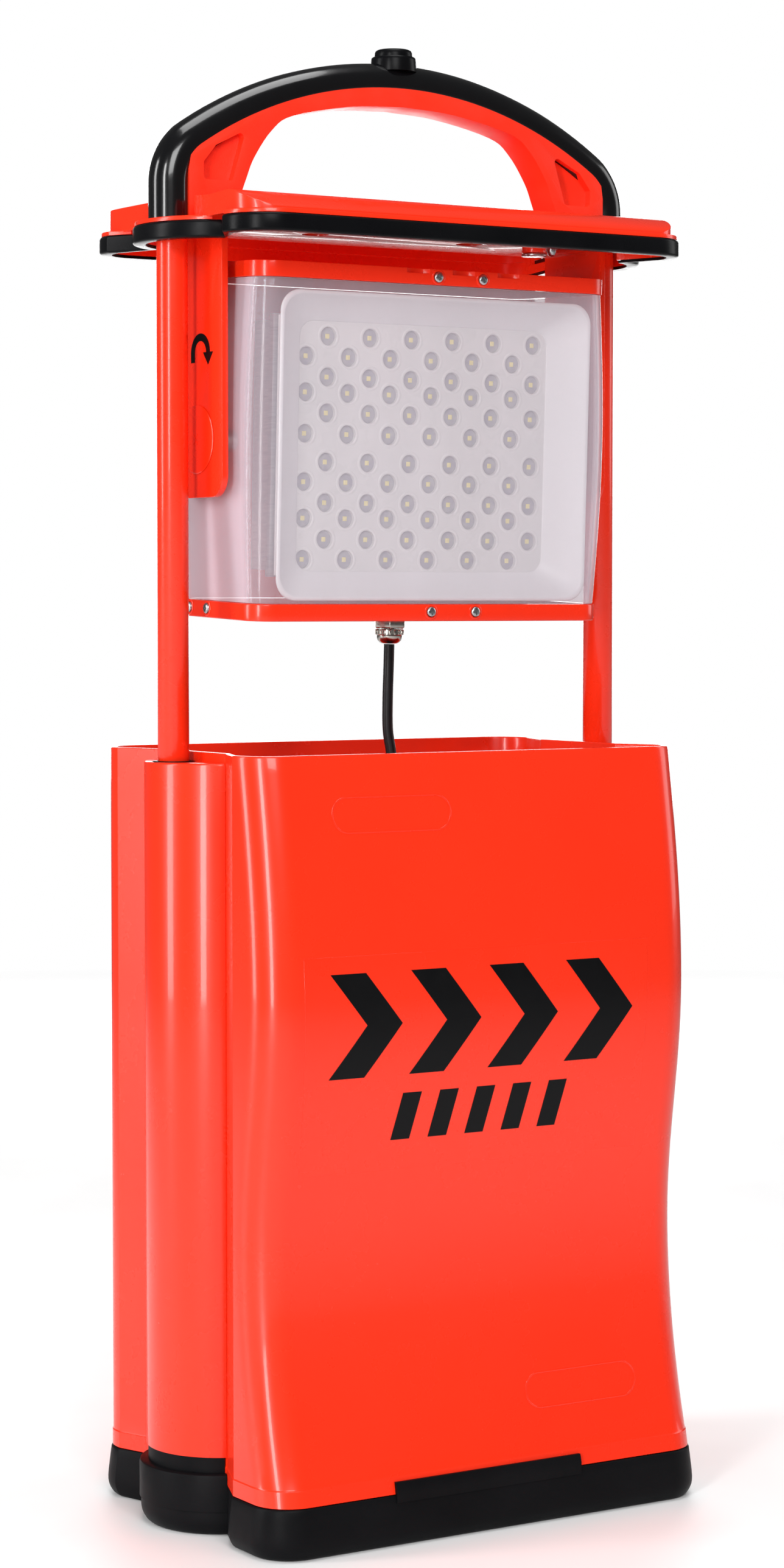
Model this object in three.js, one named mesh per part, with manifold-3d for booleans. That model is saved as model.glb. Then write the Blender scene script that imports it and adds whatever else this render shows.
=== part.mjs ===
// Portable rechargeable floodlight: a tall open-topped case on a rubber boot, a two-tube telescoping
// mast that carries a domed lid with a carry handle, and a tilting LED head between the mast tubes.
// Millimetres, +Z up, front faces -Y. The origin is on the resting face, under the middle of the mast.
import * as THREE from 'three';
import { mergeVertices } from 'three/addons/utils/BufferGeometryUtils.js';
import Module from 'manifold-3d';

// ---------- driving dimensions ----------
const GAP = 0.3; // clearance between touching pieces

// case plan: two end blocks joined by a waist, with a tube column on each side
const CASE_HALF_WIDTH = 165;
const WAIST_HALF_WIDTH = 153;
const CASE_FRONT = -99; // at the rim
const CASE_BACK = 107;
const CASE_CORNER = 25;
const BLOCK_FRONT_EDGE = -73;
const BLOCK_BACK_EDGE = 79;
const CASE_BOTTOM = 6.3;
const CASE_RIM = 499;
const WALL = 2;
const BAND = { low: 33, high: 44, proud: 0.5, inset: 1.5 }; // slightly proud band over the boot

// the front panel swells, dips and flares: [height, forward swell]; below the straight height it is plumb
const SWELL = { rim: [499, 0], crest: [342, 16.3], waist: [187, 2], foot: [0, 36], flare: 1.9, straight: 36 };

// tube columns
const COLUMN_HALF_DEPTH = 44;
const COLUMN_RISE = 28;
const COLUMN_BOTTOM = 50;
const COLUMN_TOP = 492.6;
const COLUMN_WALL = 2.6;

// rubber boot: [height, growth beyond the case]
const BOOT_PROFILE = [[0, -3.5], [2, 0.6], [7, 3.2], [12, 3.6], [20, 2.8], [32.7, 1.2]];
const BOOT_FLOOR = 6;
const BOOT_COLUMN_TOP = 40;
const BOOT_TAB = { left: -77, right: 65, top: 41, proud: 2.6 };

// charging inlet on the back
const SOCKET = { z: 75, barrel: 13 };

// inside the case: [x0, x1, y0, y1, z0, z1]
const BATTERY_BOX = [-135, 46, -78, 89, 14, 91];
const CHARGER_BOX = [56, 136, -70, 60, 14, 74];
const DECK = { halfWidth: 143, front: -84, back: 92, low: 99, high: 102, legFoot: 9.6, legThick: 3, glandHole: 7.3 };

// mast
const TUBE_X = 166.2;
const TUBE_RADIUS = 10;
const TUBE_BORE = 8.5;
const TUBE_BOTTOM = 360;
const TUBE_TOP = 836;
const BUSH = { outer: 13.7, inner: 10.4, bottom: 476, top: 493.2 };

// lid
const LID = { skirtBottom: 824, ledge: 833.3, flangeTop: 836, wall: 3 };
const TRIM = { bottom: 822, top: 833, proud: 6.2 };
const DOME = { halfWidth: 165, corner: 22, notchX: 146, notchHalfDepth: 27 };
// section of the dome from front to back: a sloped front, a low ridge behind it, a level top, a steep back
const DOME_SECTION = [[-98.5, 836], [-97, 838.5], [-90, 842.5], [-78, 847.5], [-68, 849.3], [-44, 848.3],
  [-15, 850], [60, 850.5], [92, 850], [99, 847.5], [102.5, 843], [103, 836]];
const BRIDGE = { bottom: 833, top: 835.5, halfWidth: 142.6, halfDepth: 50 };

// handle: a wide arc that bends down into the lid's ears
const BOW = { x: 168.5, crownZ: 934, crownRadius: 277, bendRadius: 34, foot: 837 };
const SLEEVE = { outer: 13, inner: 10.3 };
const GRIP = {
  halfDepth: 12.5, sideInset: 8, sideTop: 868, crownReach: 158, webHalf: 5,
  pocket: [[150, 862], [150, 873], [141, 884], [119, 895], [129, 862]],
};
const GRIP_OPENING = [[124, 851], [119, 864], [113, 878], [100, 896], [84, 906.5], [40, 915.5], [0, 918]];
const SWITCH = { collar: 15.3, cap: 12.6, bore: 12.9, low: 942, rimZ: 951.5, capLow: 949.6, capTop: 956.5 };

// lamp head
const PIVOT_Z = 698;
const HEAD_LEAN = 2.3; // degrees, top forward: where the friction hinge holds the head at rest
const HEAD = { halfWidth: 135, halfDepth: 54, corner: 16, top: 811, topLow: 801, bottomHigh: 595, bottom: 584 };
const WINDOW = { wall: 2.5, inset: 1, bulge: 4, corner: 16, backY: 34 };
const ARM = { inner: 143.9, outer: 148.3, halfDepth: 32.4, bottom: 661, corner: 14, top: 832.7, footDepth: 30, footReach: 16,
  footThick: 2.2 };
const PIVOT = { pin: 7, bore: 7.3, collar: 12, cap: 21.8, capThick: 0.9 };
const TRAY = {
  centreX: 3, centreZ: 695.5, halfWidth: 119.5, halfHeight: 98.5, rimY: -49.4,
  plateY: -32.2, plateHalfWidth: 95.5, plateHalfHeight: 80, plateCorner: 10, rimCorner: 14, wall: 2.4,
};
const SCREWS = { x: [-2.5, 32], topZ: 806, bottomZ: 590, sideY: [7, 30], head: 3.4, shank: 1.6 };

// cable from the head's gland down to the equipment deck
const CABLE = { radius: 3.5 };
const CABLE_ROUTE = [[0, 5.2, 566.5], [0, 6, 550], [-0.6, 6.2, 530], [-0.6, 6, 510], [1, 4.6, 495], [1.6, 4, 482],
  [1.6, 4, 470]];
const SLACK_ROUTE = [[1.6, 4, 469.7], [1.6, 4, 450], [-2, 3, 400], [-5, 1, 340], [-2, -3, 270], [4, 0, 200],
  [8, 0, 140], [8, 0, 112.3]];

// ---------- materials ----------
const paint = (color, roughness, metalness = 0) => new THREE.MeshStandardMaterial({ color, roughness, metalness });
const ORANGE = paint(0xf03a17, 0.28);
const RUBBER = paint(0x121315, 0.6);
const BLACK_PLASTIC = paint(0x1b1c1e, 0.45);
const WHITE = paint(0xe9e9e6, 0.5);
const CLEAR = new THREE.MeshStandardMaterial({ color: 0xf3eef0, roughness: 0.12, transparent: true, opacity: 0.3 });
const STEEL = paint(0xb9bcc0, 0.3, 1);
const NICKEL = paint(0xa7a19a, 0.25, 1);
const ALUMINIUM = paint(0xc4c7ca, 0.4, 1);
const BATTERY_GREY = paint(0x3b3f45, 0.55);

// ---------- solid modelling helpers ----------
const wasm = await Module();
wasm.setup();

function toSolid(geometry) {
  const bare = geometry.clone();
  for (const name of Object.keys(bare.attributes)) {
    if (name !== 'position') bare.deleteAttribute(name);
  }
  const merged = mergeVertices(bare, 1e-4);
  return new wasm.Manifold(new wasm.Mesh({
    numProp: 3,
    vertProperties: new Float32Array(merged.attributes.position.array),
    triVerts: new Uint32Array(merged.index.array),
  }));
}

function toGeometry(solid) {
  const mesh = solid.getMesh();
  const geometry = new THREE.BufferGeometry();
  geometry.setAttribute('position', new THREE.BufferAttribute(new Float32Array(mesh.vertProperties), 3));
  geometry.setIndex(new THREE.BufferAttribute(new Uint32Array(mesh.triVerts), 1));
  geometry.computeVertexNormals();
  return geometry;
}

const join = (first, ...rest) => rest.reduce((sum, next) => sum.add(next), first);
const cut = (first, ...rest) => rest.reduce((left, tool) => left.subtract(tool), first);

function box(x0, x1, y0, y1, z0, z1) {
  const geometry = new THREE.BoxGeometry(x1 - x0, y1 - y0, z1 - z0);
  geometry.translate((x0 + x1) / 2, (y0 + y1) / 2, (z0 + z1) / 2);
  return toSolid(geometry);
}

// upright prism of a plan outline
function prism(points, z0, z1) {
  const shape = new THREE.Shape(points.map(([x, y]) => new THREE.Vector2(x, y)));
  const geometry = new THREE.ExtrudeGeometry(shape, { depth: z1 - z0, bevelEnabled: false });
  geometry.translate(0, 0, z0);
  return toSolid(geometry);
}

// prism of an outline drawn in X and Z, running along Y
function prismAlongY(points, y0, y1) {
  const shape = new THREE.Shape(points.map(([x, z]) => new THREE.Vector2(x, z)));
  const geometry = new THREE.ExtrudeGeometry(shape, { depth: y1 - y0, bevelEnabled: false });
  geometry.rotateX(Math.PI / 2);
  geometry.translate(0, y1, 0);
  return toSolid(geometry);
}

// prism of an outline drawn in Y and Z, running along X
function prismAlongX(points, x0, x1) {
  const shape = new THREE.Shape(points.map(([y, z]) => new THREE.Vector2(y, z)));
  const geometry = new THREE.ExtrudeGeometry(shape, { depth: x1 - x0, bevelEnabled: false });
  geometry.rotateX(Math.PI / 2);
  geometry.rotateZ(Math.PI / 2);
  geometry.translate(x0, 0, 0);
  return toSolid(geometry);
}

function cylinder(radius, z0, z1, x = 0, y = 0, sides = 20) {
  const geometry = new THREE.CylinderGeometry(radius, radius, z1 - z0, sides);
  geometry.rotateX(Math.PI / 2);
  geometry.translate(x, y, (z0 + z1) / 2);
  return toSolid(geometry);
}

function cylinderAlongX(radius, x0, x1, y, z, sides = 20) {
  const geometry = new THREE.CylinderGeometry(radius, radius, Math.abs(x1 - x0), sides);
  geometry.rotateZ(Math.PI / 2);
  geometry.translate((x0 + x1) / 2, y, z);
  return toSolid(geometry);
}

// turned piece: [radius, height] profile about an upright axis
function turned(profile, x = 0, y = 0, sides = 20) {
  const points = profile.map(([r, z]) => new THREE.Vector2(r, z));
  const geometry = new THREE.LatheGeometry(points, sides);
  geometry.rotateX(Math.PI / 2);
  geometry.translate(x, y, 0);
  return toSolid(geometry);
}

function arc(cx, cy, radius, from, to, steps) {
  const points = [];
  for (let i = 0; i <= steps; i += 1) {
    const angle = THREE.MathUtils.degToRad(from + ((to - from) * i) / steps);
    points.push([cx + radius * Math.cos(angle), cy + radius * Math.sin(angle)]);
  }
  return points;
}

function roundedRectangle(halfWidth, low, high, corner, steps = 5) {
  return [
    ...arc(-halfWidth + corner, low + corner, corner, 180, 270, steps),
    ...arc(halfWidth - corner, low + corner, corner, 270, 360, steps),
    ...arc(halfWidth - corner, high - corner, corner, 0, 90, steps),
    ...arc(-halfWidth + corner, high - corner, corner, 90, 180, steps),
  ];
}

// closed skin through outlines that have equal point counts: [{ z, points }]
function loft(levels) {
  const count = levels[0].points.length;
  const positions = levels.flatMap(({ z, points }) => points.flatMap(([x, y]) => [x, y, z]));
  const index = [];
  for (let level = 0; level < levels.length - 1; level += 1) {
    for (let i = 0; i < count; i += 1) {
      const a = level * count + i;
      const b = level * count + ((i + 1) % count);
      index.push(a, b, b + count, a, b + count, a + count);
    }
  }
  const capTriangles = (level) => THREE.ShapeUtils.triangulateShape(
    levels[level].points.map(([x, y]) => new THREE.Vector2(x, y)), []);
  const top = (levels.length - 1) * count;
  for (const [a, b, c] of capTriangles(0)) index.push(a, c, b);
  for (const [a, b, c] of capTriangles(levels.length - 1)) index.push(top + a, top + b, top + c);
  const geometry = new THREE.BufferGeometry();
  geometry.setAttribute('position', new THREE.Float32BufferAttribute(positions, 3));
  geometry.setIndex(index);
  return toSolid(geometry);
}

// rod or tube along a curve
function sweep(curve, steps, radius, bore = 0, sides = 12) {
  const ring = (r) => arc(0, 0, r, 0, 360 - 360 / sides, sides - 1).map(([x, y]) => new THREE.Vector2(x, y));
  const section = new THREE.Shape(ring(radius));
  if (bore > 0) section.holes.push(new THREE.Path(ring(bore).reverse()));
  return toSolid(new THREE.ExtrudeGeometry(section, { steps, extrudePath: curve, bevelEnabled: false }));
}

// ---------- case outline ----------
// forward swell of the front panel at a height
function frontSwell(z) {
  const { rim, crest, waist, foot } = SWELL;
  if (z >= crest[0]) return crest[1] * Math.sin((Math.PI / 2) * ((rim[0] - z) / (rim[0] - crest[0])));
  if (z >= waist[0]) {
    const t = (crest[0] - z) / (crest[0] - waist[0]);
    return crest[1] + ((waist[1] - crest[1]) * (1 - Math.cos(Math.PI * t))) / 2;
  }
  const t = (waist[0] - Math.max(z, SWELL.straight)) / (waist[0] - foot[0]);
  return waist[1] + (foot[1] - waist[1]) * t ** SWELL.flare;
}

const COLUMN_RADIUS = (COLUMN_HALF_DEPTH ** 2 + COLUMN_RISE ** 2) / (2 * COLUMN_RISE);
const COLUMN_CENTRE = WAIST_HALF_WIDTH + COLUMN_RISE - COLUMN_RADIUS;

// bowed face of a column, grown outwards; side is -1 for left and 1 for right
function columnArc(side, grow, steps = 10) {
  const reach = THREE.MathUtils.radToDeg(Math.asin(COLUMN_HALF_DEPTH / COLUMN_RADIUS));
  const middle = side > 0 ? 0 : 180;
  return arc(side * COLUMN_CENTRE, 0, COLUMN_RADIUS + grow, middle - reach, middle + reach, steps);
}

function caseOutline(z, grow, withColumns = false) {
  const front = CASE_FRONT - frontSwell(z) - grow;
  const back = CASE_BACK + grow;
  const half = CASE_HALF_WIDTH + grow;
  const corner = CASE_CORNER + grow;
  const waist = WAIST_HALF_WIDTH + grow;
  const side = (sign) => (withColumns
    ? columnArc(sign, grow)
    : [[sign * waist, -sign * COLUMN_HALF_DEPTH], [sign * waist, sign * COLUMN_HALF_DEPTH]]);
  return [
    ...arc(-half + corner, front + corner, corner, 180, 270, 5),
    ...arc(half - corner, front + corner, corner, 270, 360, 5),
    [half, BLOCK_FRONT_EDGE],
    ...side(1),
    [half, BLOCK_BACK_EDGE],
    ...arc(half - corner, back - corner, corner, 0, 90, 5),
    ...arc(-half + corner, back - corner, corner, 90, 180, 5),
    [-half, BLOCK_BACK_EDGE],
    ...side(-1),
    [-half, BLOCK_FRONT_EDGE],
  ];
}

const rimOutline = (grow, withColumns) => caseOutline(CASE_RIM, grow, withColumns);

// ---------- case ----------
function makeBoot() {
  const skirt = loft(BOOT_PROFILE.map(([z, grow]) => ({ z, points: caseOutline(z, grow, true) })));
  const columnFeet = [-1, 1].flatMap((side) => [
    prism(columnArc(side, 4.6), 20, BOOT_COLUMN_TOP),
    prism(columnArc(side, -1.2), 30, COLUMN_BOTTOM - GAP),
  ]);
  const tab = box(BOOT_TAB.left, BOOT_TAB.right, -150, 150, BAND.low - 4, BOOT_TAB.top)
    .intersect(loft([28, 36, 43].map((z) => ({ z, points: caseOutline(z, BOOT_TAB.proud, true) }))));
  const caseRoom = loft([BOOT_FLOOR, 14, 24, 32.7].map((z) => ({ z, points: caseOutline(z, GAP - BAND.inset) })));
  const bandRoom = loft([32.7, 42, 52].map((z) => ({ z, points: caseOutline(z, BAND.proud + GAP) })));
  const tubeWells = [-1, 1].map((side) => cylinder(12, 8, 60, side * TUBE_X, 0, 16));
  return cut(join(skirt, ...columnFeet, tab), caseRoom, bandRoom, ...tubeWells);
}

// moves a piece built about an upright axis onto the charging inlet's axis on the back
const onBack = (solid) => solid.rotate([-90, 0, 0]).translate([0, CASE_BACK, SOCKET.z]);

function makeCaseShell() {
  const heights = [];
  for (let z = 70; z < CASE_RIM; z += 33) heights.push(z);
  const outer = loft([
    { z: CASE_BOTTOM, points: caseOutline(CASE_BOTTOM, -BAND.inset) },
    { z: BAND.low - 0.2, points: caseOutline(BAND.low, -BAND.inset) },
    { z: BAND.low, points: caseOutline(BAND.low, BAND.proud) },
    { z: BAND.high, points: caseOutline(BAND.high, BAND.proud) },
    { z: BAND.high + 0.2, points: caseOutline(BAND.high, 0) },
    ...heights.map((z) => ({ z, points: caseOutline(z, 0) })),
    { z: CASE_RIM, points: caseOutline(CASE_RIM, 0) },
  ]);
  const innerHeights = [CASE_BOTTOM + 3, 40, 70, 110, 150, 190, 230, 285, 342, 395, 445, CASE_RIM + 1];
  const inner = loft(innerHeights.map((z) => ({ z, points: caseOutline(Math.min(z, CASE_RIM), -WALL - BAND.inset) })));
  return cut(outer, inner, onBack(cylinder(SOCKET.barrel + GAP, -10, 10)));
}

function makeColumn(side) {
  const x = side * (WAIST_HALF_WIDTH + GAP);
  const outer = prism(columnArc(side, 0), COLUMN_BOTTOM, COLUMN_TOP)
    .intersect(box(Math.min(x, side * 300), Math.max(x, side * 300), -60, 60, 0, 600));
  const hollowEdge = side * (WAIST_HALF_WIDTH + 1.5);
  const hollow = prism(columnArc(side, -COLUMN_WALL), COLUMN_BOTTOM - 1, COLUMN_TOP - 3)
    .intersect(box(Math.min(hollowEdge, side * 300), Math.max(hollowEdge, side * 300), -60, 60, 0, 600));
  return cut(outer, hollow, cylinder(BUSH.outer + GAP, COLUMN_TOP - 6, COLUMN_TOP + 1, side * TUBE_X, 0));
}

function makeBush(side) {
  const { outer, inner, bottom, top } = BUSH;
  const collar = COLUMN_TOP - 3 - GAP;
  return turned([[inner, bottom], [inner + 1, bottom], [inner + 1, collar], [outer, collar], [outer, top],
    [inner, top], [inner, bottom]], side * TUBE_X, 0, 20)
    .intersect(box(...[side * (WAIST_HALF_WIDTH + GAP), side * 300].sort((a, b) => a - b), -60, 60, 0, 600));
}

// ---------- inside the case ----------

function makeBattery() {
  const [x0, x1, y0, y1, z0, z1] = BATTERY_BOX;
  const body = box(x0, x1, y0, y1, z0, z1 - 6);
  const lidStep = box(x0 + 3, x1 - 3, y0 + 3, y1 - 3, z1 - 7, z1 - 3);
  const posts = [x0 + 18, x1 - 18].map((x) => box(x - 6, x + 6, y1 - 24, y1 - 10, z1 - 4, z1 + 1));
  return join(body, lidStep, ...posts);
}

function makeDeck() {
  const { halfWidth, front, back, low, high, legFoot, legThick, glandHole } = DECK;
  const top = box(-halfWidth, halfWidth, front, back, low, high);
  const legs = [-halfWidth, halfWidth - legThick].map((x) => box(x, x + legThick, front, back, legFoot, low + 1));
  return cut(join(top, ...legs), cylinder(glandHole, low - 4, high + 3, SLACK_ROUTE.at(-1)[0], 0, 16));
}

function makeCharger() {
  const [x0, x1, y0, y1, z0, z1] = CHARGER_BOX;
  const fins = [];
  for (let y = y0 + 8; y < y1 - 4; y += 14) fins.push(box(x0 + 4, x1 - 4, y, y + 3, z1 - 1, z1 + 12));
  return join(box(x0, x1, y0, y1, z0, z1), ...fins);
}

// ---------- mast ----------
const tube = (side) => turned([[TUBE_BORE, TUBE_BOTTOM], [TUBE_RADIUS, TUBE_BOTTOM], [TUBE_RADIUS, TUBE_TOP],
  [TUBE_BORE, TUBE_TOP], [TUBE_BORE, TUBE_BOTTOM]], side * TUBE_X, 0, 24);

const slideShoe = (side) => turned([[0, TUBE_BOTTOM - 15], [10.4, TUBE_BOTTOM - 15], [10.4, TUBE_BOTTOM - GAP],
  [TUBE_BORE - GAP, TUBE_BOTTOM - GAP], [TUBE_BORE - GAP, TUBE_BOTTOM + 12], [0, TUBE_BOTTOM + 12]],
side * TUBE_X, 0, 16);

// handle centre line: up from one ear, round a bend, over the crown and down again
function bowCurve() {
  const { x, crownZ, crownRadius, bendRadius, foot } = BOW;
  const crownCentre = crownZ - crownRadius;
  const bendX = x - bendRadius;
  const bendZ = crownCentre + Math.sqrt((crownRadius - bendRadius) ** 2 - bendX ** 2);
  const lean = THREE.MathUtils.radToDeg(Math.atan2(bendX, bendZ - crownCentre));
  const left = [
    [-x, foot], [-x, (foot + bendZ) / 2],
    ...arc(-bendX, bendZ, bendRadius, 180, 90 + lean, 8),
    ...arc(0, crownCentre, crownRadius, 90 + lean, 90, 10).slice(1),
  ];
  const right = left.slice(0, -1).reverse().map(([px, pz]) => [-px, pz]);
  const points = [...left, ...right].map(([px, pz]) => new THREE.Vector3(px, 0, pz));
  return new THREE.CatmullRomCurve3(points, false, 'centripetal');
}

const BOW_CURVE = bowCurve();
const BOW_STEPS = 30;

function makeGrip() {
  const { x, crownZ, crownRadius } = BOW;
  const crownCentre = crownZ - crownRadius;
  const outer = [];
  for (let i = 0; i <= 8; i += 1) {
    const px = GRIP.crownReach * (1 - i / 8);
    outer.push([px, crownCentre + Math.sqrt(crownRadius ** 2 - px ** 2)]);
  }
  const rightOuter = [[x - GRIP.sideInset, LID.flangeTop + 2 * GAP], [x - GRIP.sideInset, GRIP.sideTop], ...outer];
  const mirror = (points) => points.map(([px, pz]) => [-px, pz]).reverse();
  const rightInner = [...GRIP_OPENING].reverse();
  const footX = DOME.notchX + 2 * GAP;
  const outline = [
    [footX, LID.flangeTop + 2 * GAP], ...rightOuter, ...mirror(rightOuter).slice(1),
    [-footX, LID.flangeTop + 2 * GAP], [-footX, GRIP_OPENING[0][1]],
    ...mirror(rightInner), ...rightInner.slice(1),
    [footX, GRIP_OPENING[0][1]],
  ];
  const beam = prismAlongY(outline, -GRIP.halfDepth, GRIP.halfDepth);
  const pocket = GRIP.pocket;
  const pockets = [1, -1].flatMap((side) => {
    const points = side > 0 ? pocket : mirror(pocket);
    return [prismAlongY(points, -20, -GRIP.webHalf), prismAlongY(points, GRIP.webHalf, 20)];
  });
  return cut(beam, sweep(BOW_CURVE, BOW_STEPS, SLEEVE.outer + GAP, 0, 16), ...pockets);
}

// ---------- lid ----------
function makeDome(inset, bottom) {
  const [front, back] = [DOME_SECTION[0][0], DOME_SECTION.at(-1)[0]];
  const middle = (front + back) / 2;
  const shrink = (back - front - 2 * inset) / (back - front);
  const section = DOME_SECTION.map(([y, z]) => [middle + (y - middle) * shrink, z - inset]);
  const profile = [[section[0][0], bottom - 1], ...section, [section.at(-1)[0], bottom - 1]].reverse();
  const plan = roundedRectangle(DOME.halfWidth - inset, front + inset, back - inset, DOME.corner);
  const notch = DOME.notchHalfDepth + inset;
  return cut(
    prism(plan, bottom, 870).intersect(prismAlongX(profile, -200, 200)),
    box(DOME.notchX - inset, 200, -notch, notch, 820, 880),
    box(-200, -DOME.notchX + inset, -notch, notch, 820, 880),
  );
}

const tubeHoles = (radius, z0, z1) => [-1, 1].map((side) => cylinder(radius, z0, z1, side * TUBE_X, 0, 24));

function makeLid() {
  const skirt = prism(rimOutline(-GAP, true), LID.skirtBottom, LID.flangeTop);
  const ledge = prism(rimOutline(TRIM.proud - 1.2, true), LID.ledge, LID.flangeTop);
  const hollow = prism(rimOutline(-GAP - LID.wall, true), LID.skirtBottom - 1, LID.flangeTop - LID.wall);
  const body = join(skirt, ledge, makeDome(0, LID.flangeTop - 1));
  return cut(body, hollow, makeDome(LID.wall, LID.skirtBottom + 6), ...tubeHoles(TUBE_RADIUS + GAP, 820, 860));
}

function makeTrim() {
  const levels = [[TRIM.bottom, TRIM.proud - 1], [TRIM.bottom + 1, TRIM.proud], [TRIM.top - 1, TRIM.proud],
    [TRIM.top, TRIM.proud - 1]];
  const outer = loft(levels.map(([z, grow]) => ({ z, points: rimOutline(grow, true) })));
  const body = cut(outer, prism(rimOutline(0, true), TRIM.bottom + 1.7, TRIM.top + 1));
  return cut(body, prism(rimOutline(-2, true), TRIM.bottom - 1, TRIM.top + 1));
}

// painted steel plate under the dome that ties the lid to the arms
function makeBridge() {
  const { bottom, top, halfWidth, halfDepth } = BRIDGE;
  const hole = (x, y) => cylinder(9, bottom - 1, top + 1, x, y, 16);
  return cut(box(-halfWidth, halfWidth, -halfDepth, halfDepth, bottom, top), hole(-60, 0), hole(60, 0));
}

function makeArm(side) {
  const { inner, outer, halfDepth, bottom, corner, top } = ARM;
  const profile = [...arc(-halfDepth + corner, bottom + corner, corner, 180, 270, 5),
    ...arc(halfDepth - corner, bottom + corner, corner, 270, 360, 5), [halfDepth, top], [-halfDepth, top]];
  const plate = prismAlongX(profile, Math.min(side * inner, side * outer), Math.max(side * inner, side * outer));
  const footEdges = [side * (inner - ARM.footReach), side * outer].sort((a, b) => a - b);
  const foot = box(...footEdges, -ARM.footDepth, ARM.footDepth, top - ARM.footThick, top);
  return cut(join(plate, foot), cylinderAlongX(PIVOT.bore, side * 130, side * 160, 0, PIVOT_Z, 16));
}

// ---------- lamp head ----------
const headPlan = (grow) => roundedRectangle(HEAD.halfWidth + grow, -HEAD.halfDepth - grow, HEAD.halfDepth + grow,
  HEAD.corner + grow, 5);

function screwPlaces() {
  const front = -HEAD.halfDepth;
  const places = [];
  for (const z of [SCREWS.topZ, SCREWS.bottomZ]) for (const x of SCREWS.x) places.push({ x, y: front, z, turn: 0 });
  for (const side of [-1, 1]) {
    for (const y of SCREWS.sideY) places.push({ x: side * HEAD.halfWidth, y, z: SCREWS.bottomZ, turn: side * 90 });
  }
  return places;
}

function placedAt(solid, { x, y, z, turn }) {
  return solid.rotate([90, 0, turn]).translate([x, y, z]);
}

const screwHoles = () => screwPlaces().map((place) => placedAt(cylinder(SCREWS.shank + GAP, -7, 2, 0, 0, 8), place));

function makeTopFrame() {
  const { top, topLow } = HEAD;
  const body = prism(headPlan(0), topLow, top);
  const hollow = prism(headPlan(-7), topLow - 1, top - 3);
  const scallops = [-18, 17, 52].map((x) => cylinder(14, top - 3, top + 1, x, -HEAD.halfDepth - 11, 16));
  return cut(body, hollow, ...scallops, ...screwHoles());
}

function makeBottomFrame() {
  const { bottomHigh, bottom } = HEAD;
  const body = prism(headPlan(0), bottom, bottomHigh);
  const hollow = prism(headPlan(-7), bottom + 3, bottomHigh + 1);
  return cut(body, hollow, cylinder(8.3, bottom - 1, bottom + 4, 0, 0, 16), ...screwHoles());
}

// barrel-shaped wall between the two frames: the clear window in front, the rear cover behind
function makeHeadWall(y0, y1) {
  const low = HEAD.bottomHigh + GAP;
  const high = HEAD.topLow - GAP;
  const skin = (grow, extra) => loft([0, 0.15, 0.35, 0.5, 0.65, 0.85, 1].map((t) => {
    const swell = WINDOW.bulge * Math.sin(Math.PI * t) - WINDOW.inset + grow;
    return {
      z: low + (high - low) * t + extra * Math.sign(t - 0.5) * (t === 0 || t === 1 ? 1 : 0),
      points: roundedRectangle(HEAD.halfWidth + swell, -HEAD.halfDepth - swell, HEAD.halfDepth + swell,
        WINDOW.corner + swell),
    };
  }));
  const pinRoom = cylinderAlongX(PIVOT.bore, -160, 160, 0, PIVOT_Z, 16);
  return cut(skin(0, 0), skin(-WINDOW.wall, 1), pinRoom).intersect(box(-200, 200, y0, y1, 500, 900));
}

// sloped white walls round the LED plate, built lying down with the mouth up, then stood to face forwards
function makeTray() {
  const { halfWidth, halfHeight, rimY, plateY, plateHalfWidth, plateHalfHeight, plateCorner, rimCorner, wall } = TRAY;
  const depth = plateY - rimY;
  const rectangle = (w, h, r) => roundedRectangle(w, -h, h, r, 4);
  const funnel = (grow, extra) => loft([
    { z: -extra, points: rectangle(plateHalfWidth + grow, plateHalfHeight + grow, plateCorner + grow) },
    { z: depth + extra, points: rectangle(halfWidth - wall + grow, halfHeight - wall + grow, rimCorner) },
  ]);
  return cut(funnel(wall, 0), funnel(0, 1)).rotate([90, 0, 0]).translate([TRAY.centreX, plateY, TRAY.centreZ]);
}

// flat panel behind the tray, at a distance behind the front of the LED plate
function flatPanel(halfWidth, halfHeight, behind, thickness) {
  const { centreX: x, centreZ: z, plateY } = TRAY;
  return box(x - halfWidth, x + halfWidth, plateY + behind, plateY + behind + thickness, z - halfHeight,
    z + halfHeight);
}

function makeHeatSink() {
  const base = flatPanel(110, 84, 9, 5);
  const fins = [];
  for (let x = -105; x <= 105; x += 17.5) {
    fins.push(flatPanel(1.2, 80, 13, 26).translate([x, 0, 0]));
  }
  return join(base, ...fins);
}

const pivotPin = (side) => join(
  cylinderAlongX(PIVOT.pin, side * 122, side * (ARM.outer - 0.4), 0, PIVOT_Z, 16),
  cylinderAlongX(PIVOT.collar, side * 139, side * (ARM.inner - GAP), 0, PIVOT_Z, 16),
);

function makeGlandBody() {
  const z = HEAD.bottom;
  return cut(turned([[0, z - 7], [10.2, z - 7], [10.2, z - GAP], [8, z - GAP], [8, z + 6], [0, z + 6]], 0, 0, 6),
    cylinder(CABLE.radius + GAP, z - 20, z + 10, 0, 0, 12));
}

function makeGlandNut() {
  const z = HEAD.bottom - 7 - GAP;
  return cut(turned([[0, z - 9.7], [5.5, z - 9.7], [8.2, z - 7.5], [9.2, z - 4], [9.2, z], [0, z]], 0, 0, 12),
    cylinder(CABLE.radius + GAP, z - 20, z + 10, 0, 0, 12));
}

const route = (points) => new THREE.CatmullRomCurve3(points.map((p) => new THREE.Vector3(...p)));

// ---------- assembly ----------
const model = new THREE.Group();

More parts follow.
